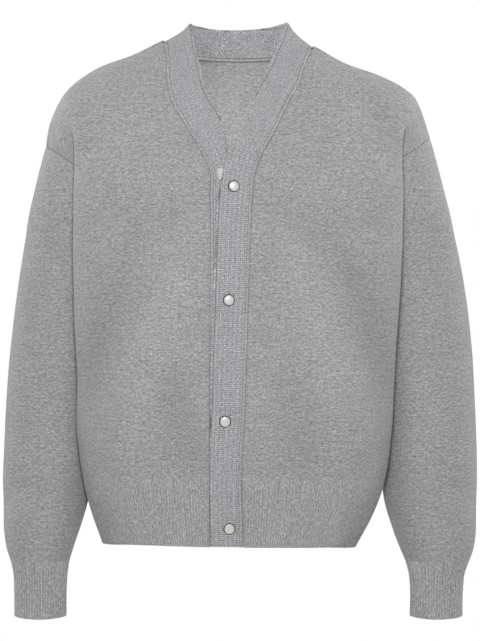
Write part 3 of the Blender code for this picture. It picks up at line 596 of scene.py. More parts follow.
# On a sleeve x is the turn from its outer side in degrees, forward positive, times a scale.
SLEEVE_FOLDS = [
    (3.2, 20, 20, 215, 100, 330),
    (-3.4, 18, 60, 215, 140, 300),
    (-2.6, 22, -40, 250, -120, 360),
    (2.6, 20, -70, 230, -150, 300),
    (2.4, 26, 30, 400, 90, 480),
    (-3.0, 18, 80, 560, 10, 600),
    (2.6, 16, 120, 575, 60, 618),
    (-2.3, 16, -30, 570, -90, 610),
    (2.4, 18, -110, 560, -60, 600),
    (-2.3, 20, 150, 430, 200, 520),
]

# Where the folds fade out: down the hem, in from a panel's sides and its top, and from station to
# station toward the armhole.
HEM_FADE = (548, 625)
SIDE_FADE, TOP_FADE = 30, 35
FRONT_FADE, BACK_FADE = (190, 240), (60, 110)
SLEEVE_SCALE, SLEEVE_FADES = 1.2, {"top": 28, "bottom": 18}
INNER_FLAT, INNER_TURNS = 0.8, (110, 150)
# How a fold wavers, how far past its ends it fades out, and from where on it is full, in shares.
WAVER, WAVER_TURN = 0.09, 5.0
FOLD_TAIL, FOLD_FULL = 0.35, 0.3
# How wide it is at its start, and how much wider at its end, as shares of its width.
FOLD_START, FOLD_WIDENS = 0.75, 0.5
# Painted light and shade that follow the folds: the cloth's colour is lighter on their crests and
# darker in their hollows, by a share for each millimetre of lift, within limits. Painted shade makes
# the flanks of the body, and the sleeves toward it, darker by a share, which comes in and goes out
# between these places.
FOLD_PAINTED_SHADING, PAINTED_SHADING_LIMITS = 0.012, (-0.13, 0.06)
FLANK_PAINTED_SHADE, FLANK_X, FLANK_FROM, FLANK_TO = 0.08, (130, 190), (230, 400), (520, 560)
INNER_PAINTED_SHADE, INNER_SHARE, INNER_FROM = 0.2, (0.1, 1.0), (180, 430)

# The size of a step between points, along the cloth and in ribs, and the numbers of columns.
CLOTH_STEP, RIB_STEP = 3.6, 3.0
SLEEVE_COLUMNS = 116
FINE = 200
WHOLE_TURN = np.linspace(0, 360, 361)
HEM_LEVELS = BODY["down"][-3:]
BAND_ACROSS = np.array([0, 1.0, 2.2, 3.2, 4.3, 5.4, 7.5, 14, 22, 30, 35, 39, 43.0])

KNIT_WALL = 1.7
RIB_SHAPE = (0.0, 0.62, 1.0, 0.62)
# The band's crown, and the ridge and the groove along its seam, as (middle, rise, width). The
# cloth dips round a snap, by (rise, width).
BAND_CROWN, CROWN_POWER = 0.5, 0.8
BAND_LINES = ((2.2, 0.35, 1.0), (4.3, -0.45, 0.9))
COURSE_FROM, COURSE_TO = (4.5, 6.5), (0.5, 3.0)
SNAP_DIP = (0.9, 9.5)
COURSE_PITCH, COURSE_RISE = 2.6, 0.36
LADDER_PITCH = 5.9
# How many places the band and its neck part are first worked out at, before they are spaced evenly.
BAND_PLACES, NECK_PLACES = 900, 300
RIB_FADE = 16.0
# An open edge is rounded in steps, and drawn in over its room, in half walls. Places closer than a
# tiny length have no direction, and no face of the flat map is wider than the widest, in metres.
LIP_STEPS, EDGE_ROOM, LEAST_TURN = 3, 4.0, 0.2
TINY, WIDEST_FACE = 1e-9, 0.05
SEAM_SINK, SEAM_WIDTH, SEAM_STEEP = 1.3, 1.2, 1.5
# Painted shade along the seams' grooves, as a share of the colour, where a seam is named as dark and where
# it is not.
DARK_SEAM_SHADE, FAINT_SEAM_SHADE = 0.42, 0.08
ALLOWANCE, ALLOWANCE_SINK = 1.3, 2.2
SEAM_LINES = np.array([0.5, 1.1, 1.9])
# For each named edge of a grid: its axis, its own line and the line beside it.
ENDS = {"top": (0, 0, 1), "bottom": (0, -1, -2), "first": (1, 0, 1), "last": (1, -1, -2)}

# A snap's dome from its middle to its edge, and the profiles of its rim and of the ring behind, as
# (radius, height), with their clearances.
SNAP_DOME = ((0.35, 2.75), (6.25, 1.2))
SNAP_RIM = ((6.35, 0.8), (6.45, 0.6), (6.7, 0.8), (7.05, 0.85), (7.3, 0.6), (7.4, 0.3), (7.2, 0.0))
SNAP_RING = ((2.2, 1.1), (2.5, 1.2), (4.4, 1.2), (5.2, 0.95), (5.6, 0.5), (5.6, 0.0), (2.2, 0.0),
             (2.2, 1.1))
SNAP_LIFT, SNAP_BACK_GAP = 0.15, 0.1
DOME_STEPS, CAP_SIDES, RING_SIDES, SHARP_DEGREES = 11, 56, 40, 38
TAPE_LIFT, TAPE_CROWN = 1.25, 0.15
TAPE_ROWS, TAPE_COLUMNS = 12, 9
# The linked stitches: their pitch, their length, width and height, and their place at the seam.
LINKING_PITCH, LINKING_SIZE = 2.9, (3.4, 1.5, 1.3)
LINKING_IN, LINKING_DROP = 4.1, 1.1
LINKING_SHARES = np.linspace(0.05, 1, 120)
# The slant of a stitch, along and across its row, how blunt its ends are, and its faces.
STITCH_SLANT, STITCH_ENDS = (0.35, 0.94), 0.6
STITCH_RINGS, STITCH_SIDES = 7, 8

WHITE = (1.0, 1.0, 1.0)
# Clouds in the knit, as (scale, detail, roughness, gain), and how dark a fleck gets at most.
CLOUDS = ((22.0, 3.0, 0.6, 0.14), (75.0, 2.0, 0.6, 0.16), (5.0, 1.0, 0.5, 0.06))
DARKEST = 0.12
# Where the band's pattern comes in, by height and by depth in metres, and the lines along it, as
# (middle, reach, gain): painted light on the ridge beside its seam, and painted shade in the seam's
# groove and along its free edge.
PLACKET_LOW, PLACKET_NAPE = (-0.10, -0.14), (0.0, 0.03)
PLACKET_LIGHT_AND_SHADE = ((2.0, 1.1, 0.2), (4.2, 1.0, -0.36), (43.2, 1.3, -0.5))
WEAVE_PITCH = 0.6
# The floor is a disc, in metres, and glows faintly between two distances from its middle.
FLOOR_RADIUS, FLOOR_LEVEL, FLOOR_CORNERS = 4.0, -1.45, 96
FLOOR_GLOW = (0.8, 3.6)


def folds_at(folds, x, down):
    """How far soft folds lift the cloth at places in their plane, in millimetres."""
    lift = np.zeros(np.broadcast(x, down).shape)
    for height, width, start_x, start_down, end_x, end_down in folds:
        way = np.array([end_x - start_x, end_down - start_down], float)
        length = np.linalg.norm(way)
        way /= length
        ahead = (x - start_x) * way[0] + (down - start_down) * way[1]
        aside = (x - start_x) * way[1] - (down - start_down) * way[0]
        aside = aside + WAVER * width * np.sin(ahead / length * WAVER_TURN + start_x)
        share = np.clip(ahead / length, -FOLD_TAIL, 1 + FOLD_TAIL)
        fade = ease(-FOLD_TAIL, FOLD_FULL, share) * (1 - ease(1 - FOLD_FULL, 1 + FOLD_TAIL, share))
        spread = width * (FOLD_START + FOLD_WIDENS * np.clip(share, 0, 1))
        lift += height * fade * np.exp(-((aside / spread) ** 2))
    return lift


def normals_of(grid, closed):
    """The direction across a grid of points at each of them, from its rows and columns."""
    down = np.gradient(grid, axis=0, edge_order=2)
    if closed:
        across = np.roll(grid, -1, axis=1) - np.roll(grid, 1, axis=1)
    else:
        across = np.gradient(grid, axis=1, edge_order=2)
    return unit(np.cross(down, across))


def distance_in(grid, edge):
    """The distance of each point of a grid from a named edge, measured along the cloth."""
    axis, here, _ = ENDS[edge]
    steps = np.linalg.norm(np.diff(grid, axis=axis), axis=2)
    run = np.cumsum(np.insert(steps, 0, 0, axis=axis), axis=axis)
    return run if here == 0 else run.take([-1], axis) - run


def steps_for(knots, pitch, scale=1.0):
    """How many steps of about a pitch fit in each span between knots."""
    return [max(1, round(scale * (b - a) / pitch)) for a, b in zip(knots, knots[1:])]


def closer(at, both=True):
    """The places with a few more of them close to the first and, where it is both, to the last."""
    extra = [at, at[0] + SEAM_LINES]
    if both:
        extra.append(at[-1] - SEAM_LINES)
    return np.sort(np.concatenate(extra))


def with_line(values, edge, past):
    """A grid with a line more past an edge."""
    axis, here, _ = ENDS[edge]
    return np.insert(values, 0 if here == 0 else values.shape[axis], past, axis=axis)


def past_edge(grid, edge):
    """The points a seam allowance past an edge of a grid."""
    axis, here, beside = ENDS[edge]
    line = grid.take(here, axis)
    return line + unit(line - grid.take(beside, axis)) * ALLOWANCE * MM


def tucked(grid, sign, seams, closed, dark):
    """The grid with its seams sunk into grooves and a little allowance turned in past each.

    With it comes the painted shade of each point, darkest in the grooves of the seams named as dark.
    """
    sink = np.zeros(grid.shape[:2])
    tone = np.zeros(grid.shape[:2])
    for edge in seams:
        darkest_seam_shade = DARK_SEAM_SHADE if edge in dark else FAINT_SEAM_SHADE
        close = np.exp(-((distance_in(grid, edge) / MM / SEAM_WIDTH) ** SEAM_STEEP))
        sink = np.maximum(sink, SEAM_SINK * close)
        tone = np.minimum(tone, -darkest_seam_shade * close ** 2)
        grid = with_line(grid, edge, past_edge(grid, edge))
        sink = with_line(sink, edge, ALLOWANCE_SINK)
        tone = with_line(tone, edge, -darkest_seam_shade)
    return lifted(grid, sign, -sink, closed), tone.reshape(-1)


def along(line, run, at):
    """Points at distances `at` on a line of points whose distances are run, rising or falling."""
    way = slice(None, None, 1 if run[-1] > run[0] else -1)
    return np.column_stack([np.interp(at, run[way], line[way, axis]) for axis in range(3)])


def quads(index, closed):
    """The faces of a grid of indices, whose columns close into a tube or don't."""
    after = np.roll(index, -1, axis=1)
    if not closed:
        index, after = index[:, :-1], after[:, :-1]
    return np.stack([index[:-1], index[1:], after[1:], after[:-1]], axis=2).reshape(-1, 4)


def drawn_in(grid, edges, by):
    """The grid with its open edges drawn in by a distance, which leaves room for their rounding."""
    for edge in edges:
        run = distance_in(grid, edge)
        at = run + by * np.clip(1 - run / (EDGE_ROOM * by), 0, 1)
        if ENDS[edge][0] == 0:
            lines = [along(*line) for line in zip(grid.swapaxes(0, 1), run.T, at.T)]
            grid = np.array(lines).swapaxes(0, 1)
        else:
            grid = np.array([along(*line) for line in zip(grid, run, at)])
    return grid


def lip(grid, across, seats, edges, thick):
    """The lines of points and their directions that close a shell round one loop of its grid.

    They bulge outward along the open edges, as half a circle, and are straight along the others.
    """
    place = np.divmod(seats, grid.shape[1])
    out = np.zeros((len(seats), 3))
    for edge in edges:
        axis, here, beside = ENDS[edge]
        step = grid.take(here, axis) - grid.take(beside, axis)
        on_edge = place[axis] == here % grid.shape[axis]
        out += np.where(on_edge[:, None], unit(step)[place[1 - axis]], 0)
    normal = across[place]
    out -= (out * normal).sum(axis=1, keepdims=True) * normal
    out = np.where(np.linalg.norm(out, axis=1, keepdims=True) > LEAST_TURN, unit(out), 0)
    lines = []
    for step in range(1, LIP_STEPS + 1):
        angle = np.pi * step / (LIP_STEPS + 1)
        direction = np.cos(angle) * normal + np.sin(angle) * out
        lines.append((grid[place] + (direction - normal) * thick / 2, unit(direction)))
    return lines


def shell(name, grid, sign, wall, open_edges, seams, closed=False, flat=None, dark=()):
    """A thin closed shell from the grid of its outer side.

    Open edges are rounded over the wall's thickness. The others are cut square, and sink into a
    groove at a seam, along which painted shade draws a dark line where it is named as dark. The sign
    turns the grid's own direction outward. The flat map is in metres, measured along the cloth from
    its first and its lower edge unless it is given.
    """
    thick = wall * MM
    if flat is None:
        aside = distance_in(grid, "first")
        if closed:
            round_it = aside[:, -1:] + np.linalg.norm(grid[:, :1] - grid[:, -1:], axis=2)
            aside = np.where(aside > round_it / 2, aside - round_it, aside)
        flat = np.stack([aside, -distance_in(grid, "bottom")], axis=2)
    for edge in seams:
        flat = with_line(flat, edge, past_edge(flat, edge))
    grid, tone = tucked(grid, sign, seams, closed, dark)
    grid = drawn_in(grid, open_edges, thick / 2)
    flat = flat.reshape(-1, 2)
    across = sign * normals_of(grid, closed)
    size = len(tone)
    index = np.arange(size).reshape(grid.shape[:2])
    outer = quads(index, closed)[:, ::sign]
    faces = [outer, outer[:, ::-1] + size]
    points = [grid.reshape(-1, 3), (grid - across * thick).reshape(-1, 3)]
    facing = [across.reshape(-1, 3), -across.reshape(-1, 3)]
    seats_of = [np.arange(size), np.arange(size)]
    if closed:
        loops = [(index[0], sign), (index[-1], -sign)]
    else:
        around = [index[0], index[1:, -1], index[-1, -2::-1], index[-2:0:-1, 0]]
        loops = [(np.concatenate(around), sign)]
    start = 2 * size
    for seats, way in loops:
        rings = [seats]
        for line, direction in lip(grid, across, seats, open_edges, thick):
            points.append(line)
            facing.append(direction)
            seats_of.append(seats)
            rings.append(start + np.arange(len(seats)))
            start += len(seats)
        rings.append(size + seats)
        faces.append(quads(np.array(rings), True)[:, ::-way])
    seats_of = np.concatenate(seats_of)
    faces = np.concatenate(faces).tolist()
    piece = make_mesh(name, np.concatenate(points), faces, flat[seats_of], np.concatenate(facing))
    # The fold attribute starts with the painted shade along the seams.
    layer = piece.data.attributes.new("fold", "FLOAT", "POINT")
    layer.data.foreach_set("value", tone[seats_of].astype(np.float32))
    return piece


def placed(name, data):
    """A new object in the scene, with its mesh, lamp or camera."""
    made = bpy.data.objects.new(name, data)
    bpy.context.scene.collection.objects.link(made)
    return made


def make_mesh(name, points, faces, flat=None, facing=None):
    """A smooth mesh object with a flat map in metres and given normals."""
    mesh = bpy.data.meshes.new(name)
    mesh.from_pydata(points.tolist(), [], faces)
    mesh.shade_smooth()
    if flat is not None:
        corner = np.empty(len(mesh.loops), np.int32)
        mesh.loops.foreach_get("vertex_index", corner)
        corners = flat[corner].astype(np.float32)
        if all(len(face) == 4 for face in faces):
            corners = unwrapped(corners.reshape(-1, 4, 2))
        mesh.uv_layers.new(name="flat").data.foreach_set("uv", corners.ravel())
    if facing is not None:
        mesh.normals_split_custom_set_from_vertices(facing.tolist())
    return placed(name, mesh)


def unwrapped(corners):
    """Flat places of four-cornered faces, mended where a face joins a tube's two sides."""
    across = corners[:, :, 0]
    left, right = across.min(axis=1), across.max(axis=1)
    joins = right - left > WIDEST_FACE
    step = (right - left)[:, None]
    low = across < (left + right)[:, None] / 2
    corners[:, :, 0] = np.where(joins[:, None] & low, across + step, across)
    return corners


def lifted(grid, sign, lift, closed=False):
    """The grid moved out along its own direction by a lift in millimetres."""
    return grid + sign * normals_of(grid, closed) * (lift * MM)[..., None]


def dressed(piece, node, slot, *materials):
    """Puts a piece on the model in place of a node, with its finish."""
    for material in materials:
        piece.data.materials.append(material)
    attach(piece, "root")
    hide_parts(node)
    return piece


# ---------------------------------------------------------------------------------------------
# Finishes. Every pattern is laid in the cloth's own flat map, in metres.


class Nodes:
    """Short calls for the nodes of one material."""

    def __init__(self, name):
        self.material = bpy.data.materials.new(name)
        self.material.use_nodes = True
        self.tree = self.material.node_tree
        self.flat = self.add("ShaderNodeUVMap", uv_map="flat").outputs["UV"]
        self.body = self.add("ShaderNodeTexCoord").outputs["Object"]

    def add(self, kind, **settings):
        """A node with its settings: an input's name with spaces as _, or the node's own."""
        node = self.tree.nodes.new(kind)
        for key, value in settings.items():
            name = key.replace("_", " ")
            found = [i for i in node.inputs if i.name.lower() == name.lower()]
            if found and not hasattr(node, key):
                self.put(found[0], value)
            else:
                setattr(node, key, value)
        return node

    def put(self, socket, value):
        """Links a socket to a value's node, or sets it."""
        if isinstance(value, bpy.types.NodeSocket):
            self.tree.links.new(value, socket)
        else:
            socket.default_value = value

    def split(self, where):
        """The x, y and z of places."""
        return self.add("ShaderNodeSeparateXYZ", Vector=where).outputs

    def math(self, operation, a, b=0.0, c=0.0):
        """The result of a Math node."""
        node = self.tree.nodes.new("ShaderNodeMath")
        node.operation = operation
        for socket, value in zip(node.inputs, (a, b, c)):
            self.put(socket, value)
        return node.outputs[0]

    def times(self, *values):
        """The product of values."""
        product = values[0]
        for value in values[1:]:
            product = self.math("MULTIPLY", product, value)
        return product

    def scaled(self, value, gain, offset):
        """A value times a gain, plus an offset."""
        return self.math("MULTIPLY_ADD", value, gain, offset)

    def about(self, value, middle, gain):
        """1 plus a gain times how far a value is from its middle."""
        return self.scaled(self.math("SUBTRACT", value, middle), gain, 1.0)

    def wave(self, value, pitch):
        """The sine along a value, at a pitch in millimetres."""
        return self.math("SINE", self.times(value, 2 * np.pi / (pitch * MM)))

    def noise(self, where, scale, detail=2.0, roughness=0.6, stretch=(1, 1, 1)):
        """A noise value, about 0.5, at places scaled by a stretch."""
        place = self.add("ShaderNodeMapping", vector_type="POINT", Vector=where)
        place.inputs["Scale"].default_value = stretch
        node = self.add("ShaderNodeTexNoise", Vector=place.outputs[0], Scale=scale, Detail=detail,
                        Roughness=roughness)
        return node.outputs["Fac"]

    def ramp(self, value, low, high):
        """0 where a value is below low, 1 above high, and smooth between them."""
        node = self.add("ShaderNodeMapRange", From_Min=low, From_Max=high, interpolation_type="SMOOTHSTEP")
        self.put(node.inputs["Value"], value)
        return node.outputs[0]

    def stripe(self, value, middle, reach, gain):
        """1 plus a gain that falls off on both sides of a middle, in millimetres."""
        away = self.math("ABSOLUTE", self.math("SUBTRACT", value, middle * MM))
        return self.scaled(self.ramp(away, reach * MM, 0.0), gain, 1.0)

    def bump(self, strength, distance, height):
        """The direction of a surface with a height, as deep as a distance in metres."""
        return self.add("ShaderNodeBump", Strength=strength, Distance=distance, Height=height).outputs[0]

    def finished(self, shade, colour, **inputs):
        """The material with a shaded colour and its shader's other inputs."""
        tones = dict(zip(("Red", "Green", "Blue"), [self.times(shade, channel) for channel in colour]))
        inputs["Base Color"] = self.add("ShaderNodeCombineColor", **tones).outputs[0]
        for name, value in inputs.items():
            self.put(self.tree.nodes["Principled BSDF"].inputs[name.replace("_", " ")], value)
        return self.material


def knit(name, colour, wale, course, speckle, streak, grain=(0.6, 1.15), bars=(0.2, 1.3), depth=0.34,
         ribs=None, placket=False):
    """A marl knit. A wale is a column of stitches and a course a row, both in millimetres.

    Grain and bars say how the marl's flecks and streaks are drawn out, and depth how dark the knit
    is between its stitches. Ribs are their pitch and how strong the painted shade in the gaps between
    them is, with painted light on their crests. A placket has raised courses across it, ladders down
    it and a seam along its first edge.
    """
    n = Nodes(name)
    u, v, _ = n.split(n.flat)
    column = n.math("FRACT", n.math("DIVIDE", u, wale * MM))
    part = n.math("ABSOLUTE", n.math("SUBTRACT", column, 0.5))
    row = n.scaled(part, 0.9, n.math("DIVIDE", v, course * MM))
    loop = n.scaled(n.math("SINE", n.times(row, 2 * np.pi)), 0.5, 0.5)
    stitch = n.times(n.scaled(loop, 0.6, 0.4), n.scaled(n.times(part, part), -4.0, 1.0))

    marl = n.noise(n.flat, 620.0, 2.0, 0.65)
    strand = n.noise(n.flat, 330.0, 3.0, 0.7, (*grain, 1))
    drawn = n.noise(n.flat, 150.0, stretch=(*bars, 1))
    # The fold attribute is painted light and shade: lighter on the crests of folds, and darker in their
    # hollows, on the body's flanks, on the sleeves' sides against it and along the seams.
    fold = n.add("ShaderNodeAttribute", attribute_name="fold").outputs["Fac"]
    factors = [n.about(marl, 0.5, speckle), n.about(strand, 0.5, speckle * 0.8)]
    factors += [n.about(drawn, 0.5, streak), n.about(fold, 0.0, 1.0)]
    factors += [n.scaled(stitch, depth, 1 - depth / 2)]
    factors += [n.about(n.noise(n.body, *kind), 0.5, gain) for *kind, gain in CLOUDS]
    # Painted shade in the gaps between the ribs and painted light on their crests, fading in below the rib's
    # top.
    if ribs:
        pitch, dark = ribs
        amount = n.times(n.ramp(v, 0.0, RIB_FADE * MM), -dark / 2)
        factors += [n.scaled(n.wave(u, pitch), amount, 1.0)]
    if placket:
        factors += placket_factors(n, u, v)
    shade = n.math("MAXIMUM", n.times(*factors), DARKEST)

    fuzz = n.noise(n.flat, 900.0, 2.0, 0.7)
    height = n.scaled(fuzz, 0.7, n.scaled(strand, 0.8, stitch))
    return n.finished(shade, colour, Normal=n.bump(0.75, 0.00028, height),
                      Roughness=n.scaled(marl, 0.16, 0.8), Specular_IOR_Level=0.18, Sheen_Weight=0.35,
                      Sheen_Roughness=0.5)


def placket_factors(n, u, v):
    """Shades of the band: patches of courses and ladders, and lines of painted light and painted shade
    along its seam and its lap.

    They show below the V and round the nape, and hardly on the smooth collar.
    """
    _, depth, level = n.split(n.body)
    low = n.ramp(level, *PLACKET_LOW)
    nape = n.ramp(depth, *PLACKET_NAPE)
    shown = n.scaled(n.math("MAXIMUM", low, nape), 0.85, 0.15)
    patterns = [
        # where, along, pitch, amount, scale of the patches, their stretch and contrast
        (shown, v, COURSE_PITCH, 0.42, 90.0, (1.3, 0.8, 1), 3.0),
        (low, u, LADDER_PITCH, 0.17, 60.0, (2.2, 0.5, 1), 3.4),
    ]
    factors = []
    for where, axis, pitch, amount, scale, stretch, contrast in patterns:
        spots = n.about(n.noise(n.flat, scale, stretch=stretch), 0.5, contrast)
        patch = n.times(where, n.math("MAXIMUM", spots, 0.0), -amount / 2)
        factors.append(n.scaled(n.wave(axis, pitch), patch, 1.0))
    return factors + [n.stripe(u, *line) for line in PLACKET_LIGHT_AND_SHADE]


def woven_tape(name):
    """A smooth pale tape with a fine plain weave."""
    n = Nodes(name)
    u, v, _ = n.split(n.flat)
    weave = n.times(n.wave(u, WEAVE_PITCH), n.wave(v, WEAVE_PITCH))
    fine = n.noise(n.flat, 700.0)
    shade = n.scaled(weave, 0.03, n.scaled(fine, 0.16, 0.5))
    return n.finished(shade, WHITE, Normal=n.bump(0.5, 0.0001, weave), Roughness=n.scaled(fine, 0.2, 0.5))


def pearl(name, colour, roughness, metallic, coat):
    """Moulded pearl or plated metal, with faint clouding and fine scuffs."""
    n = Nodes(name)
    cloud = n.noise(n.body, 420.0, 3.0)
    scuff = n.noise(n.body, 1500.0, 2.0, 0.7, (1, 0.2, 1))
    return n.finished(n.scaled(cloud, 0.4, 0.8), colour, Normal=n.bump(0.12, 0.00005, scuff),
                      Metallic=metallic, Coat_Weight=coat, Roughness=n.scaled(scuff, 0.14, roughness - 0.07))


def pale_floor(name, tone):
    """A plain pale floor with a little grain, lit faintly from within where the lamps don't reach."""
    n = Nodes(name)
    grain = n.noise(n.body, 3.0, 2.0, 0.5)
    x, y, _ = n.split(n.body)
    away = n.math("SQRT", n.math("ADD", n.times(x, x), n.times(y, y)))
    return n.finished(n.scaled(grain, 0.02, tone - 0.01), WHITE, Roughness=0.8, Emission_Color=(*WHITE, 1),
                      Emission_Strength=n.scaled(n.ramp(away, *FLOOR_GLOW), 0.6, 0.02))


# ---------------------------------------------------------------------------------------------
# The cloth.


def arm_knots(side):
    """The places of a sleeve's and cuff's sections along the arm, as arm() counts them."""
    start = ARMHOLE[side]["top"][1] + ARMHOLE[side]["foot"][1]
    return [start, *(ARM["outer_down"] + ARM["inner_down"])]


def rib_wave(count):
    """The height of each of `count` columns, four to a rib, as a share of the rib's rise."""
    return np.tile(RIB_SHAPE, count // 4 + 1)[:count]


def add_painted_shading(piece, painted_shading_of):
    """Paints light and shade on a piece: each point gets lighter or darker by a share of its colour.

    The share is worked out from the points' x and their level below the shoulder line.
    """
    points = np.empty(len(piece.data.vertices) * 3, np.float32)
    piece.data.vertices.foreach_get("co", points)
    x, _, z = points.reshape(-1, 3).T / MM
    layer = piece.data.attributes["fold"].data
    there = np.empty(len(x), np.float32)
    layer.foreach_get("value", there)
    layer.foreach_set("value", (there + painted_shading_of(x, -z)).astype(np.float32))


def painted_fold_light_and_shade(folds, x, down):
    """Painted light and shade: how much lighter the crests of a panel are, and its hollows and its flanks
    darker.
    """
    lift = folds_at(folds, x, down) * (1 - ease(*HEM_FADE, down))
    flank = ease(*FLANK_X, np.abs(x)) * ease(*FLANK_FROM, down) * (1 - ease(*FLANK_TO, down))
    return np.clip(FOLD_PAINTED_SHADING * lift, *PAINTED_SHADING_LIMITS) - FLANK_PAINTED_SHADE * flank


def painted_shade_toward_body(grid, x, down):
    """Painted shade: how much darker the side of a sleeve that lies against the body is, more toward its
    cuff.
    """
    across = np.abs(grid[..., 0]) / MM
    level = -grid[..., 2].mean(axis=1) / MM
    middle = np.interp(down, level, across.mean(axis=1))
    half = np.interp(down, level, np.ptp(across, axis=1) / 2)
    return -INNER_PAINTED_SHADE * ease(*INNER_SHARE, (middle - np.abs(x)) / half) * ease(*INNER_FROM, down)


def rib_map(grid):
    """A flat map whose ribs fall on the grid's own: four columns to a rib, and down the cloth."""
    aside = (np.arange(grid.shape[1]) + 1) * RIB_PITCH * MM / 4
    return np.stack([np.broadcast_to(aside, grid.shape[:2]), distance_in(grid, "top")], axis=2)


def panel(part, grid, fade, folds, mirror, out, material, hem, dark=()):
    """A panel of the body or its hem, from a plain grid, with its folds or also its ribs.

    The folds fade toward the seams, down the hem and by a given share. Mirror is the sign of the
    grid's x in the model, and out turns its own direction outward.
    """
    top = distance_in(grid, "top")
    lift = folds_at(folds, mirror * grid[..., 0], grid[..., 2]) * (1 - ease(*HEM_FADE, grid[..., 2]))
    for edge in ("first", "last"):
        lift *= ease(0, SIDE_FADE, distance_in(grid, edge))
    lift *= fade
    if hem:
        place = part.split("_")[-1]
        lift += RIB_RISE * rib_wave(grid.shape[1]) * ease(0, RIB_FADE, top)
        grid = lifted(in_metres(grid, mirror), out, lift)
        seams = ("first", "last")
        piece = shell("rib_hem_" + place, grid, out, KNIT_WALL, ("bottom",), seams, flat=rib_map(grid))
        dressed(piece, "hem_rib_" + place, "marl_rib", material)
    else:
        grid = lifted(in_metres(grid, mirror), out, lift * ease(0, TOP_FADE, top))
        seams = ("top", "first", "last")
        piece = shell("knit_" + part, grid, out, KNIT_WALL, (), seams, dark=dark)
        dressed(piece, part, "marl_knit", material)
    # Painted light on the crests of its folds, and painted shade in their hollows and on its flanks.
    add_painted_shading(piece, partial(painted_fold_light_and_shade, folds))
    return piece


def rows_of(yoke, hem):
    """The levels of a panel's rows: closer together at its top seam, or even down a hem."""
    if hem:
        return places(HEM_LEVELS, steps_for(HEM_LEVELS, RIB_STEP))
    knots = [row[0] for row in yoke] + list(BODY["down"][:-2])
    return closer(places(knots, steps_for(knots, CLOTH_STEP)), both=False)


def columns_of(form, stations, hem, both):
    """The stations of a panel's columns: closer together at its seams, or four to a hem's rib."""
    if not hem:
        return closer(places(stations, steps_for(stations, CLOTH_STEP)), both)
    fine = np.linspace(stations[0], stations[-1], FINE)
    line = form(fine, HEM_LEVELS)[1, :FINE]
    return evenly(line, fine, 4 * ribs_along(line) + 1)


def front_piece(side, material, hem=False):
    """A front, from its shoulder down, or the hem rib that rises out of its plain knit."""
    form, sign = partial(front, side), SIDES[side]
    across = columns_of(form, FRONT_STATIONS, hem, both=True)
    grid = form(across, rows_of(FRONT_YOKE, hem))
    fade = 1 - ease(*FRONT_FADE, across)
    # Its shoulder seam gets a dark line of painted shade.
    return panel("front_" + side, grid, fade, FRONT_FOLDS, sign, sign, material, hem, dark=("top",))


def back_piece(material, hem=False):
    """The back, from the shoulders and the neck down, or its hem rib."""
    across = columns_of(back, BACK_STATIONS, hem, both=False)
    grid = back(across, rows_of(BACK_YOKE, hem))
    fade = ease(*BACK_FADE, np.append(across, across[-2::-1]))
    return panel("back", grid, fade, BACK_FOLDS, 1, -1, material, hem)


def sleeve_piece(side, material):
    """A sleeve, from its armhole to its cuff."""
    sign = SIDES[side]
    knots = arm_knots(side)[:-CUFF_ROWS]
    turns = round_turns(arm(side, WHOLE_TURN, 5, [1])[0], SLEEVE_COLUMNS)
    grid = arm(side, turns, 0, steps_for(knots, CLOTH_STEP, 0.5))
    close = grid[:1] + unit(grid[1:2] - grid[:1]) * SEAM_LINES[:, None, None]
    grid = np.concatenate([grid[:1], close, grid[1:]])
    turn = (turns + 180) % 360 - 180
    lift = folds_at(SLEEVE_FOLDS, SLEEVE_SCALE * turn[None, :], grid[..., 2])
    for edge, fade in SLEEVE_FADES.items():
        lift = lift * ease(0, fade, distance_in(grid, edge))
    lift *= 1 - INNER_FLAT * ease(*INNER_TURNS, np.abs(turn))[None, :]
    grid = lifted(in_metres(grid, sign), -sign, lift, closed=True)
    seams = ("top",)
    # Its armhole seam gets a dark line of painted shade.
    piece = shell("knit_sleeve_" + side, grid, -sign, KNIT_WALL, (), seams, closed=True, dark=seams)
    # Painted shade on the side of the sleeve that lies against the body.
    add_painted_shading(piece, partial(painted_shade_toward_body, grid))
    return dressed(piece, "sleeve_" + side, "marl_knit", material)


def round_turns(line, count):
    """Turns in degrees of `count` columns that are evenly spaced round a closed line."""
    return evenly(line, WHOLE_TURN, count + 1)[:-1]


def cuff_piece(side, material):
    """A ribbed cuff. Its ribs rise out of the sleeve's plain knit."""
    sign = SIDES[side]
    knots = arm_knots(side)
    start = len(knots) - 1 - CUFF_ROWS
    counts = steps_for(knots[start:], RIB_STEP, 0.5)
    line = arm(side, WHOLE_TURN, start, counts)[-1]
    count = 4 * ribs_along(line)
    grid = arm(side, round_turns(line, count), start, counts)
    lift = RIB_RISE * rib_wave(count)[None, :] * ease(0, RIB_FADE, distance_in(grid, "top"))
    grid = lifted(in_metres(grid, sign), -sign, lift, closed=True)
    piece = shell("rib_cuff_" + side, grid, -sign, KNIT_WALL, ("bottom",), (), True, rib_map(grid))
    return dressed(piece, "cuff_" + side, "marl_rib", material)


def even_strip():
    """The band's seam, middle and free edge, in metres, at even steps: four to a course."""
    levels = places([FRONT_YOKE[0][0], BODY["down"][-1]], [BAND_PLACES])
    strip = in_metres(whole_band(levels, np.linspace(0, 1, NECK_PLACES)))
    run = run_of(strip[:, 1])
    count = 4 * round(run[-1] / (COURSE_PITCH * MM))
    at = np.linspace(0, run[-1], count + 1)
    return np.stack([along(strip[:, line], run, at) for line in range(3)], axis=1)


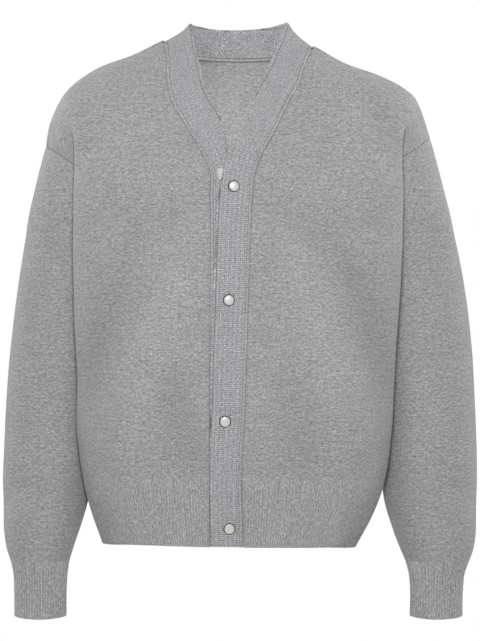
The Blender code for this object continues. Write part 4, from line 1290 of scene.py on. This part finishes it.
def band_piece(material):
    """The doubled strip up the right front, round the neck and down the left front."""
    strip = even_strip()
    reach = np.linalg.norm(strip[:, 2] - strip[:, 0], axis=1)[:, None] / MM
    across = BAND_ACROSS * reach / BAND_ACROSS[-1]
    share = (across / reach)[:, :, None]
    rest = 1 - share
    grid = (strip[:, :1] * rest * (rest - share) + strip[:, 1:2] * 4 * share * rest
            + strip[:, 2:] * share * (share - rest))
    lift = BAND_CROWN * np.sin(np.pi * np.clip(share[:, :, 0], 0, 1)) ** CROWN_POWER
    for middle, rise, width in BAND_LINES:
        lift += bump_at(across - middle, rise, width)
    course = np.arange(len(strip))[:, None] / 4
    wave = 0.5 + 0.5 * np.cos(2 * np.pi * course)
    lift += COURSE_RISE * wave * ease(*COURSE_FROM, across) * ease(*COURSE_TO, reach - across)
    left = slice(len(strip) // 2 + 1, None)
    for x, down in SNAPS:
        point, _ = on_band("left", x, down)
        lift[left] -= bump_at(np.linalg.norm(grid[left] - point, axis=2) / MM, *SNAP_DIP)
    flat = np.stack([across, np.broadcast_to(course * COURSE_PITCH, across.shape)], axis=2) * MM
    grid = lifted(grid, -1, lift)
    ends = ("top", "bottom", "last")
    piece = shell("knit_band", grid, -1, BAND_WALL, ends, ("first",), flat=flat)
    return dressed(piece, "front_band", "band_knit", material)


def bump_at(away, rise, width):
    """A soft round bump, by the distance from its middle."""
    return rise * np.exp(-((away / width) ** 2))


def lathe(name, profile, materials, sides):
    """A piece turned about Z, closed, from its profile of (radius, height, finish) in millimetres."""
    radius, height, finish = np.array(profile).T
    turn = np.linspace(0, 2 * np.pi, sides, endpoint=False)
    wide = radius[:, None] * MM
    level = np.broadcast_to(height[:, None] * MM, (len(wide), sides))
    points = np.stack([wide * np.cos(turn), wide * np.sin(turn), level], axis=2).reshape(-1, 3)
    faces = quads(np.arange(len(points)).reshape(-1, sides), True)
    finish = list(np.repeat(finish[:-1].astype(int), sides))
    if profile[0][:2] == profile[-1][:2]:
        points = points[:-sides]
        faces = (faces % len(points)).tolist()
    else:
        faces = [*faces.tolist(), list(range(sides)), list(range(len(points)))[:-1 - sides:-1]]
        finish += [profile[0][2], profile[-1][2]]
    made = make_mesh(name, points, faces)
    for material in materials:
        made.data.materials.append(material)
    made.data.polygons.foreach_set("material_index", finish)
    made.data.set_sharp_from_angle(angle=np.radians(SHARP_DEGREES))
    return made


def stand_on(piece, point, out):
    """Stands a turned piece on a point, along a direction."""
    turn = Vector(out).to_track_quat("Z", "Y").to_matrix().to_4x4()
    turn.translation = Vector(point)
    piece.data.transform(turn)


def snap_pieces(dome_finish, rim_finish):
    """The domed caps on the upper band and the ring backs inside the under band."""
    turn = np.linspace(0, np.pi / 2, DOME_STEPS)
    (middle, top), (edge, foot) = SNAP_DOME
    radius = middle + (edge - middle) * np.sin(turn)
    height = foot + (top - foot) * np.cos(turn)
    cap = [(r, h, 0) for r, h in zip(radius, height)] + [(r, h, 1) for r, h in SNAP_RIM]
    ring = [(r, h, 0) for r, h in SNAP_RING]
    for number, (x, down) in enumerate(SNAPS, start=1):
        point, out = on_band("left", x, down)
        made = lathe(f"snap_dome_{number}", cap, [dome_finish, rim_finish], CAP_SIDES)
        stand_on(made, point + out * SNAP_LIFT * MM, out)
        dressed(made, f"snap_cap_{number}", "snap_metal")
        point, out = on_band("right", x, down)
        made = lathe(f"snap_ring_{number}", ring, [rim_finish], RING_SIDES)
        stand_on(made, point - out * (BAND_WALL + SNAP_BACK_GAP) * MM, -out)
        dressed(made, f"snap_back_{number}", "snap_metal")


def tape_piece(material):
    """The end of a reinforcing tape on the under band, beside the crossing."""
    top, low = np.array(TAPE_CORNERS)
    rows = []
    for share in np.linspace(0, 1, TAPE_ROWS):
        start, end = top * (1 - share) + low * share
        row = []
        for aside in np.linspace(0, 1, TAPE_COLUMNS):
            point, out = on_band("right", *(start * (1 - aside) + end * aside))
            row.append(point + out * (TAPE_LIFT + TAPE_CROWN * np.sin(np.pi * aside)) * MM)
        rows.append(row)
    edges = ("top", "bottom", "first", "last")
    piece = shell("tape_end", np.array(rows), 1, TAPE_WALL, edges, ())
    return dressed(piece, "placket_tape", "tape", material)


def stitch_row(name, line, facing, pitch, size, material):
    """A row of small slanted stitches, as one mesh, along a line of points in metres."""
    run = run_of(line)
    count = int(run[-1] / (pitch * MM))
    at = (np.arange(count) + 0.5) * run[-1] / count
    seats, out = along(line, run, at), unit(along(facing, run, at))
    ahead = unit(np.gradient(seats, axis=0))
    slant = (ahead * STITCH_SLANT[0] + np.cross(out, ahead) * STITCH_SLANT[1])[:, None]
    length, width, rise = (value * MM for value in size)
    swing = (np.pi * (np.arange(STITCH_RINGS) + 0.5) / STITCH_RINGS)[:, None]
    turn = (2 * np.pi * np.arange(STITCH_SIDES) / STITCH_SIDES)[:, None]
    seats, out = seats[:, None], out[:, None]
    middle = seats - slant * np.cos(swing) * length / 2 + out * np.sin(swing) * rise * 0.6
    girth = np.cross(out, slant) * np.cos(turn) * width / 2 + out * np.sin(turn) * rise / 2
    points = middle[:, :, None] + girth[:, None] * np.sin(swing)[:, None] ** STITCH_ENDS
    tube = np.arange(STITCH_RINGS * STITCH_SIDES).reshape(STITCH_RINGS, STITCH_SIDES)
    one = [*quads(tube, True)[:, ::-1], tube[0, ::-1], tube[-1]]
    faces = [(face + first).tolist() for first in range(0, count * tube.size, tube.size) for face in one]
    points = points.reshape(-1, 3)
    flat = np.column_stack([points[:, 0] * 0.7 + points[:, 1], points[:, 2]])
    piece = make_mesh(name, points, faces, flat)
    piece.data.materials.append(material)
    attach(piece, "root")
    return piece


def neck_linking(material):
    """The linked stitches inside the back neck, where the band joins the back."""
    right, left = [
        in_metres(neckline(side, LINKING_SHARES)[:, :3], sign) for side, sign in SIDES.items()
    ]
    line = np.concatenate([right, left[-2::-1]])
    toward = unit(line * (-1, -1, 0))
    inside = line + (toward * LINKING_IN - (0, 0, LINKING_DROP)) * MM
    piece = stitch_row("neck_linking", inside, toward, LINKING_PITCH, LINKING_SIZE, material)


body_knit = knit("marl knit", (0.335, 0.335, 0.335), 1.7, 1.25, 2.3, 0.4)
# The rib's second number is the strength of the painted shade in its gaps and light on its crests.
rib_knit = knit("marl rib", (0.355, 0.355, 0.355), 1.75, 1.3, 2.3, 0.4, (1.5, 0.5), (1.6, 0.15),
                ribs=(RIB_PITCH, 0.22))
strip_knit = knit("band knit", (0.352, 0.352, 0.359), 2.4, 2.6, 2.4, 0.3, (1.2, 1.2), (1.0, 0.4), 0.4,
                  placket=True)
link_yarn = knit("link yarn", (0.5, 0.5, 0.505), 0.8, 0.8, 0.8, 0.1)

for side in SIDES:
    front_piece(side, body_knit)
    sleeve_piece(side, body_knit)
    cuff_piece(side, rib_knit)
    front_piece(side, rib_knit, hem=True)
back_piece(body_knit)
back_piece(rib_knit, hem=True)
band_piece(strip_knit)
tape_piece(woven_tape("pale tape"))
snap_pieces(pearl("snap pearl", (0.62, 0.61, 0.585), 0.36, 0.1, 0.5),
            pearl("snap rim", (0.075, 0.072, 0.07), 0.45, 0.9, 0.0))
neck_linking(link_yarn)

# ---------------------------------------------------------------------------------------------
# The stage, the light and the camera.

floor_mesh = bpy.data.meshes.new("floor")
rim_turns = np.linspace(0, 2 * np.pi, FLOOR_CORNERS, endpoint=False)
rim_points = [(FLOOR_RADIUS * np.cos(t), FLOOR_RADIUS * np.sin(t), FLOOR_LEVEL) for t in rim_turns]
floor_mesh.from_pydata(rim_points, [], [tuple(range(FLOOR_CORNERS))])
floor_mesh.materials.append(pale_floor("pale floor", 0.86))
floor = placed("floor", floor_mesh)


def area_light(name, place, target, size, watts):
    """A square soft light that faces a target."""
    data = bpy.data.lights.new(name, "AREA")
    data.shape = "SQUARE"
    data.size = size
    data.energy = watts
    lamp = placed(name, data)
    lamp.visible_camera = False
    lamp.location = place
    lamp.rotation_euler = (Vector(target) - Vector(place)).to_track_quat("-Z", "Y").to_euler()


area_light("key", (-0.02, -2.0, 0.52), (0, 0, -0.32), 0.5, 35)
area_light("above", (0, 0.1, 2.0), (0, 0, -0.2), 1.5, 8)
area_light("left side", (2.1, 0.8, 0.9), (0, 0, -0.1), 1.2, 34)
area_light("right side", (-2.1, 0.8, 0.9), (0, 0, -0.1), 1.2, 32)
area_light("behind", (0.1, 2.6, 0.6), (0, 0, -0.35), 1.6, 22)
area_light("inside the neck", (0, -0.03, -0.13), (0, 0.1, -0.02), 0.09, 0.12)

world = bpy.data.worlds.new("studio")
world.use_nodes = True
tree = world.node_tree
background = tree.nodes["Background"]
seen = tree.nodes.new("ShaderNodeBackground")
for glow, strength in ((background, 0.1), (seen, 1.0)):
    glow.inputs["Color"].default_value = (1, 1, 1, 1)
    glow.inputs["Strength"].default_value = strength
path = tree.nodes.new("ShaderNodeLightPath")
mix = tree.nodes.new("ShaderNodeMixShader")
tree.links.new(path.outputs["Is Camera Ray"], mix.inputs["Fac"])
tree.links.new(background.outputs[0], mix.inputs[1])
tree.links.new(seen.outputs[0], mix.inputs[2])
tree.links.new(mix.outputs[0], tree.nodes["World Output"].inputs["Surface"])
bpy.context.scene.world = world
bpy.context.scene.view_settings.view_transform = "Standard"

camera_data = bpy.data.cameras.new("camera")
camera_data.lens = 130.6
camera_data.sensor_width = 36.0
camera = placed("camera", camera_data)
camera.location = (0.0, -3.0, -0.355)
camera.rotation_euler = (np.pi / 2, 0, 0)
bpy.context.scene.camera = camera
